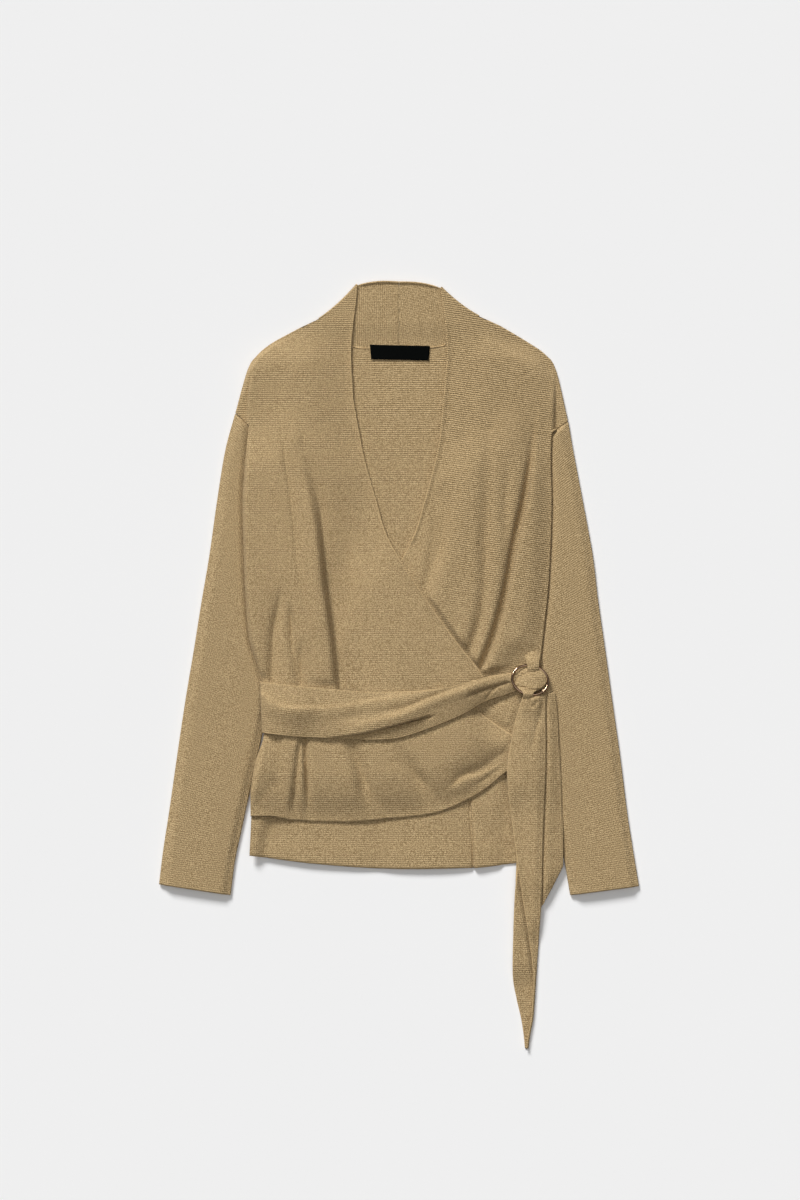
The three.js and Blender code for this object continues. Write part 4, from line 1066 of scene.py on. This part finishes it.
def tube(line, out, up, radius, sides):
    """Rings of points round a line, from the directions out of it and up."""
    angles = np.linspace(0, 2 * np.pi, sides, endpoint=False)[None, :, None]
    rings = np.cos(angles) * out[:, None] + np.sin(angles) * up[:, None]
    return (line[:, None] + radius * rings).reshape(-1, 3)


def tube_faces(rings, sides, closed):
    """Faces between a tube's rings of points."""
    faces = []
    for i in range(rings if closed else rings - 1):
        for j in range(sides):
            i2, j2 = (i + 1) % rings, (j + 1) % sides
            faces.append((i * sides + j, i2 * sides + j, i2 * sides + j2, i * sides + j2))
    return faces


RING_AROUND = 128
RING_SIDES = 20


def make_ring(material):
    """An oval ring of round wire, tilted on the knot."""
    turn = Matrix.Rotation(math.radians(RING_TURN), 4, "Z")
    tilt = Matrix.Rotation(math.radians(RING_TILT), 4, "X")
    place = Matrix.Translation(Vector(RING_CENTRE)) @ turn @ tilt
    around = np.linspace(0, 2 * np.pi, RING_AROUND, endpoint=False)
    long, short = RING_RADII
    flat = np.zeros(RING_AROUND)
    line = np.stack([long * np.cos(around), short * np.sin(around), flat], axis=1)
    out = np.stack([short * np.cos(around), long * np.sin(around), flat], axis=1)
    out /= size(out)[:, None]
    up = np.tile([0.0, 0.0, 1.0], (RING_AROUND, 1))
    points = tube(line, out, up, RING_WIRE / 2, RING_SIDES)
    placed = [tuple((place @ Vector(p)) * MM) for p in points]
    return add_mesh("ring_wire", placed, tube_faces(RING_AROUND, RING_SIDES, True), material)


# The label is a little narrower and lower at its free edge, and waves a little
LABEL_WIDTH = 66
LABEL_HEIGHT = 16
LABEL_THICK = 0.6
LABEL_COLUMNS = 34
LABEL_ROWS = 12
LABEL_TOP = (1, 350.4)
LABEL_TAPER = 0.04
LABEL_SLOPE = 0.022
LABEL_ABOVE = 0.9
LABEL_WAVE = 0.25
LABEL_WAVE_LENGTHS = (11, 7)


def make_label(material):
    """The bare label under the neck seam."""
    x = LABEL_TOP[0] + np.linspace(-0.5, 0.5, LABEL_COLUMNS) * LABEL_WIDTH
    y = LABEL_TOP[1] - np.linspace(0, 1, LABEL_ROWS) * LABEL_HEIGHT
    xx, yy = np.meshgrid(x, y)
    down = (LABEL_TOP[1] - yy) / LABEL_HEIGHT
    xx = LABEL_TOP[0] + (xx - LABEL_TOP[0]) * (1 - LABEL_TAPER * down)
    yy = yy - LABEL_SLOPE * xx
    zz = np.full(xx.shape, WALL + SEAM + LABEL_ABOVE)
    zz += LABEL_WAVE * np.sin(xx / LABEL_WAVE_LENGTHS[0]) * np.cos(yy / LABEL_WAVE_LENGTHS[1])
    grid = np.stack([xx, yy, zz], axis=-1)
    flat = grid[..., :2].copy()
    return cloth_object("neck_label_woven", grid, flat, material, thick=LABEL_THICK)


CORD_SIDES = 8


def make_cord(name, line, radius, material):
    """A round line of yarn along a path."""
    along = np.gradient(line, axis=0)
    along /= size(along)[:, None]
    out = np.cross(along, [0, 0, 1])
    out /= size(out)[:, None]
    points = tube(line, out, np.cross(out, along), radius, CORD_SIDES)
    faces = tube_faces(len(line), CORD_SIDES, False)
    faces.append(tuple(range(CORD_SIDES)))
    faces.append(tuple((len(line) - 1) * CORD_SIDES + j for j in reversed(range(CORD_SIDES))))
    made = add_mesh(name, (points * MM).tolist(), faces, material)
    # The whole cord gets the painted highlight.
    add_cloth_data(made.data, points[:, :2] * MM, np.ones(len(points)))
    return made


SEAM_RADIUS = 0.75
SEAM_SHARE = 0.57
SEAM_POINTS = 90
SEAM_SINK = 0.1
SEAM_WAVE = 0.12
SEAM_WAVE_LENGTH = 0.5


def make_neck_seam(material):
    """The line of yarn along the back neck seam."""
    t = np.linspace(-SEAM_SHARE, SEAM_SHARE, SEAM_POINTS)
    right = neck_seam(RIGHT_SIDE, np.maximum(-t, 0))
    left = neck_seam(LEFT_SIDE, np.maximum(t, 0))
    xy = np.where(t[:, None] < 0, right, left)
    line = np.concatenate([xy, np.full((SEAM_POINTS, 1), WALL - SEAM_SINK)], axis=1)
    line[:, 2] += SEAM_WAVE * np.sin(line[:, 0] / SEAM_WAVE_LENGTH)
    return make_cord("neck_seam_knit", line, SEAM_RADIUS, material)


class Nodes:
    """Short calls for making and linking the nodes of a material or a world."""

    def __init__(self, owner):
        owner.use_nodes = True
        self.owner = owner
        self.tree = owner.node_tree

    def add(self, kind, **settings):
        node = self.tree.nodes.new(kind)
        for key, value in settings.items():
            setattr(node, key, value)
        return node

    def put(self, socket, value):
        if isinstance(value, bpy.types.NodeSocket):
            self.tree.links.new(value, socket)
        else:
            socket.default_value = value

    def shade(self, **values):
        """Sets or links the shader's own sockets; a name's underscores stand for spaces."""
        shader = self.tree.nodes["Principled BSDF"]
        for key, value in values.items():
            self.put(shader.inputs[key.replace("_", " ")], value)

    def place(self, kind):
        return self.add("ShaderNodeTexCoord").outputs[kind]

    def split(self, vector):
        node = self.add("ShaderNodeSeparateXYZ")
        self.put(node.inputs[0], vector)
        return node.outputs

    def maths(self, operation, a, b=0.0):
        node = self.add("ShaderNodeMath", operation=operation)
        self.put(node.inputs[0], a)
        self.put(node.inputs[1], b)
        return node.outputs[0]

    def times(self, a, b):
        return self.maths("MULTIPLY", a, b)

    def plus(self, a, b):
        return self.maths("ADD", a, b)

    def wave(self, value, length):
        return self.maths("SINE", self.times(value, 2 * math.pi / length))

    def noise(self, vector, scale, detail=2.0, rough=0.5):
        node = self.add("ShaderNodeTexNoise")
        self.put(node.inputs["Vector"], vector)
        node.inputs["Scale"].default_value = scale
        node.inputs["Detail"].default_value = detail
        node.inputs["Roughness"].default_value = rough
        return node.outputs["Fac"]

    def mix(self, share, a, b):
        node = self.add("ShaderNodeMix", data_type="RGBA")
        self.put(node.inputs[0], share)
        self.put(node.inputs[6], a)
        self.put(node.inputs[7], b)
        return node.outputs[2]

    def stretch(self, value, low, high, to_low=0.0, to_high=1.0):
        node = self.add("ShaderNodeMapRange")
        self.put(node.inputs[0], value)
        for k, limit in enumerate((low, high, to_low, to_high)):
            node.inputs[1 + k].default_value = limit
        return node.outputs[0]

    def bump(self, height, strength, distance):
        node = self.add("ShaderNodeBump")
        node.inputs["Strength"].default_value = strength
        node.inputs["Distance"].default_value = distance
        self.put(node.inputs["Height"], height)
        return node.outputs[0]


# Knit, in metres: its courses and wales, and where along X or Y the courses stand out and painted
# light makes the cloth paler towards the collar. Then the shares of what makes up its relief and
# colour, painted shade and painted highlight included, and its colours.
COURSE = 0.0023
WALE = 0.0018
WOBBLE = 0.0016
COURSES_RISE = (0.14, 0.28)
LEFT_FRONT_RISE = (0.03, 0.07)
LEFT_FRONT_ENDS = (0.162, 0.170)
LEFT_FRONT_TOP = (0.0, 0.12)
PAINTED_LIGHT_RISE = (0.08, 0.3)
COURSE_LOW = 0.24
COURSE_HIGH = 0.42
COURSE_LEFT = 0.32
WALE_SHARE = 0.2
FUZZ_SHARE = 0.85
# Share of the painted shade in the valleys between the courses
PAINTED_VALLEY_SHADE = 0.1
BROAD_SHARE = 0.2
# Shares of the painted highlight on free edges and of the painted light towards the collar, and how
# much paler the colour is that both paint
EDGE_HIGHLIGHT_SHARE = 0.85
PAINTED_LIGHT_SHARE = 0.2
PAINTED_LIGHT_GAIN = 1.45
YARN_CONTRAST = (0.42, 0.58)
# The middle of a noise, which is stretched to its whole range
MIDDLE = (0.3, 0.7)
KNIT_BASE = (0.425, 0.300, 0.153, 1)
KNIT_DARK = (0.285, 0.193, 0.089, 1)
KNIT_LIGHT = (0.590, 0.432, 0.234, 1)
SHEEN_TINT = (0.95, 0.86, 0.7, 1.0)


def course_height(n, across, up):
    """How strongly the courses show: more at the shoulders and on the left front."""
    share = n.stretch(up, *COURSES_RISE, COURSE_LOW, COURSE_HIGH)
    left = n.times(n.stretch(across, *LEFT_FRONT_RISE), n.stretch(across, *LEFT_FRONT_ENDS, 1.0, 0.0))
    left = n.times(left, n.stretch(up, *LEFT_FRONT_TOP))
    return n.plus(share, n.times(left, COURSE_LEFT))


def knit_material():
    """Fine knit: courses and wales as relief, heathered yarn, soft nap, painted highlight on free
    edges, painted shade in the course valleys, painted light towards the collar.
    """
    n = Nodes(bpy.data.materials.new("knit_camel"))
    u, v, _ = n.split(n.place("UV"))
    solid = n.place("Object")
    across, up, _ = n.split(solid)
    wobble = n.times(n.noise(solid, scale=140.0), WOBBLE)
    course = n.wave(n.plus(v, wobble), COURSE)
    wale = n.wave(n.plus(u, wobble), WALE)
    fuzz = n.noise(solid, scale=1300.0, detail=3.0, rough=0.7)
    yarn = n.noise(solid, scale=950.0, detail=1.0, rough=0.5)
    relief = n.times(course, course_height(n, across, up))
    relief = n.plus(relief, n.times(wale, WALE_SHARE))
    relief = n.plus(relief, n.times(fuzz, FUZZ_SHARE))
    colour = n.mix(n.stretch(yarn, *YARN_CONTRAST), KNIT_DARK, KNIT_LIGHT)
    broad = n.noise(solid, scale=28.0, detail=3.0)
    colour = n.mix(n.stretch(broad, *MIDDLE, 0.0, BROAD_SHARE), colour, KNIT_BASE)
    # Painted shade: the cloth darkens in the valleys between the courses.
    colour = n.mix(n.stretch(course, -1.0, 1.0, PAINTED_VALLEY_SHADE, 0.0), colour, KNIT_DARK)
    # Painted highlight: the cloth gets paler along free edges, by the share in the edge attribute.
    edge = n.add("ShaderNodeAttribute", attribute_name="edge").outputs["Fac"]
    painted_light_colour = tuple(min(c * PAINTED_LIGHT_GAIN, 1.0) for c in KNIT_BASE[:3]) + (1.0,)
    colour = n.mix(n.times(edge, EDGE_HIGHLIGHT_SHARE), colour, painted_light_colour)
    # Painted light: the cloth gets paler towards the collar, where the light falls brighter.
    colour = n.mix(n.stretch(up, *PAINTED_LIGHT_RISE, 0.0, PAINTED_LIGHT_SHARE), colour, painted_light_colour)
    n.shade(Base_Color=colour, Normal=n.bump(relief, strength=0.9, distance=0.0006))
    n.shade(Roughness=0.92, Specular_IOR_Level=0.2)
    n.shade(Sheen_Weight=0.12, Sheen_Roughness=0.5, Sheen_Tint=SHEEN_TINT)
    return n.owner


LABEL_RIB = 0.0007
LABEL_DARK = (0.0012, 0.0016, 0.0014, 1)
LABEL_LIGHT = (0.0025, 0.003, 0.0026, 1)


def label_material():
    n = Nodes(bpy.data.materials.new("label_satin"))
    place = n.place("UV")
    rib = n.wave(n.split(place)[1], LABEL_RIB)
    shade = n.stretch(n.noise(place, scale=900.0), *MIDDLE)
    n.shade(Base_Color=n.mix(shade, LABEL_DARK, LABEL_LIGHT))
    n.shade(Normal=n.bump(rib, strength=0.5, distance=0.0002))
    n.shade(Roughness=0.8, Specular_IOR_Level=0.04)
    return n.owner


RING_DARK = (0.30, 0.19, 0.12, 1)
RING_LIGHT = (0.40, 0.27, 0.18, 1)
RING_ROUGHNESS = (0.06, 0.14)


def ring_material():
    n = Nodes(bpy.data.materials.new("ring_gold"))
    wear = n.noise(n.place("Object"), scale=500.0, detail=4.0)
    n.shade(Base_Color=n.mix(wear, RING_DARK, RING_LIGHT), Metallic=1.0)
    n.shade(Roughness=n.stretch(wear, *MIDDLE, *RING_ROUGHNESS))
    return n.owner


FLOOR_DARK = (0.90, 0.90, 0.90, 1)
FLOOR_LIGHT = (0.91, 0.91, 0.91, 1)


def floor_material():
    n = Nodes(bpy.data.materials.new("floor_pale"))
    tone = n.noise(n.place("Object"), scale=3.0, detail=2.0)
    n.shade(Base_Color=n.mix(tone, FLOOR_DARK, FLOOR_LIGHT), Roughness=1.0)
    n.shade(Specular_IOR_Level=0.0)
    return n.owner


PHOTO_SCALE = 1.1
PHOTO_CENTRE = (399, 664)
PHOTO_SIZE = (800, 1200)
LENS = 100
SENSOR = 36
FAR_CLIP = 50


def make_camera():
    """Straight down, with the photo's frame."""
    x = (PHOTO_SIZE[0] / 2 - PHOTO_CENTRE[0]) * PHOTO_SCALE
    y = (PHOTO_CENTRE[1] - PHOTO_SIZE[1] / 2) * PHOTO_SCALE
    height = PHOTO_SIZE[1] * PHOTO_SCALE * LENS / SENSOR
    data = bpy.data.cameras.new("camera")
    data.lens = LENS
    data.sensor_width = SENSOR
    data.clip_end = FAR_CLIP
    camera = bpy.data.objects.new("camera", data)
    camera.location = Vector((x, y, height)) * MM
    bpy.context.collection.objects.link(camera)
    bpy.context.scene.camera = camera


# Light: the sky's brightness at the horizon and overhead, and two suns. A sun is its strength,
# its spread, and the azimuth (0 is +Y, 90 is +X) and elevation that it shines from, in degrees.
HORIZON = 0.03
ZENITH = 0.9
SKY_POWER = 6.0
KEY = (3.3, 20, -24, 33.5)
OVERHEAD = (0.4, 48, 0, 90)
FLOOR_HALF = 12.0
FLOOR_Z = -0.0003


def make_sun(name, strength, spread, azimuth, elevation):
    data = bpy.data.lights.new(name, "SUN")
    data.energy = strength
    data.angle = math.radians(spread)
    sun = bpy.data.objects.new(name, data)
    a, e = math.radians(azimuth), math.radians(elevation)
    back = Vector((math.sin(a) * math.cos(e), math.cos(a) * math.cos(e), math.sin(e)))
    sun.rotation_mode = "QUATERNION"
    sun.rotation_quaternion = (-back).to_track_quat("-Z", "Y")
    bpy.context.collection.objects.link(sun)


def make_world():
    """A sky that is bright overhead and dim near the horizon."""
    n = Nodes(bpy.data.worlds.new("studio"))
    bpy.context.scene.world = n.owner
    up = n.split(n.place("Generated"))[2]
    brightness = n.stretch(n.maths("POWER", up, SKY_POWER), 0.0, 1.0, HORIZON, ZENITH)
    background = n.tree.nodes["Background"]
    n.put(background.inputs[0], (1, 1, 1, 1))
    n.put(background.inputs[1], brightness)


def make_stage():
    make_world()
    make_sun("key", *KEY)
    make_sun("overhead", *OVERHEAD)
    corners = [(-1, -1), (1, -1), (1, 1), (-1, 1)]
    points = [(FLOOR_HALF * x, FLOOR_HALF * y, FLOOR_Z) for x, y in corners]
    add_mesh("floor", points, [(0, 1, 2, 3)], floor_material())
    bpy.context.scene.view_settings.view_transform = "Standard"


def build():
    make_camera()
    make_stage()
    knit = knit_material()
    label = label_material()
    gold = ring_material()
    right_sleeve = make_sleeve("sleeve_right_knit", RIGHT_SLEEVE, knit)
    left_sleeve = make_sleeve("sleeve_left_knit", LEFT_SLEEVE, knit)
    sleeves = [right_sleeve, left_sleeve]
    back = make_back(knit)
    left_front = make_left_front(knit)
    right_front = make_right_front(knit)
    sash = make_sash(knit)
    tail_short = make_tail_short(knit)
    tail_long = make_tail_long(knit)
    turn = make_ribbon("sash_turn_knit", SASH_TURN, knit, LUMP_CROWN, LUMP_CREASES)
    tab = make_ribbon("ring_tab_knit", RING_TAB, knit, TAB_CROWN)
    neck_label = make_label(label)
    # Piece, its solid, slot, flat width and length, flat area, how it is held, what it lies on
    pieces = [
        (right_sleeve, "sleeve_right", "knit", (0.20, 0.53), 0.090, "folded", ["floor"]),
        (left_sleeve, "sleeve_left", "knit", (0.20, 0.52), 0.088, "folded", ["floor"]),
        (back, "back_panel", "knit", (0.372, 0.61), 0.192, "laid", ["floor", *sleeves]),
        (left_front, "front_left", "knit", (0.34, 0.66), 0.103, "folded", [back]),
        (right_front, "front_right", "knit", (0.32, 0.67), 0.108, "folded", [back, left_front]),
        (sash, "sash_waist", "knit", (0.30, 0.056), None, "gathered", [right_front]),
        (tail_short, "tail_short", "knit", (0.046, 0.255), 0.0089, "laid", [left_front, back]),
        (tail_long, "tail_long", "knit", (0.056, 0.39), None, "folded", [tail_short]),
        (turn, "sash_turn", "knit", (0.035, 0.042), 0.00109, "gathered", ["ring_wire"]),
        (tab, "ring_tab", "knit", (0.024, 0.036), 0.00074, "folded", ["ring_wire"]),
        (neck_label, "neck_label", "label", (0.066, 0.016), None, "laid", [back]),
    ]
    neck_seam_line = make_neck_seam(knit)
    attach(neck_seam_line, "root")
    ring = make_ring(gold)
    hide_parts("ring")
    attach(ring, "root")
    for piece, node, slot, flat, area, held, rests_on in pieces:
        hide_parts(node)
        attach(piece, "root")


build()
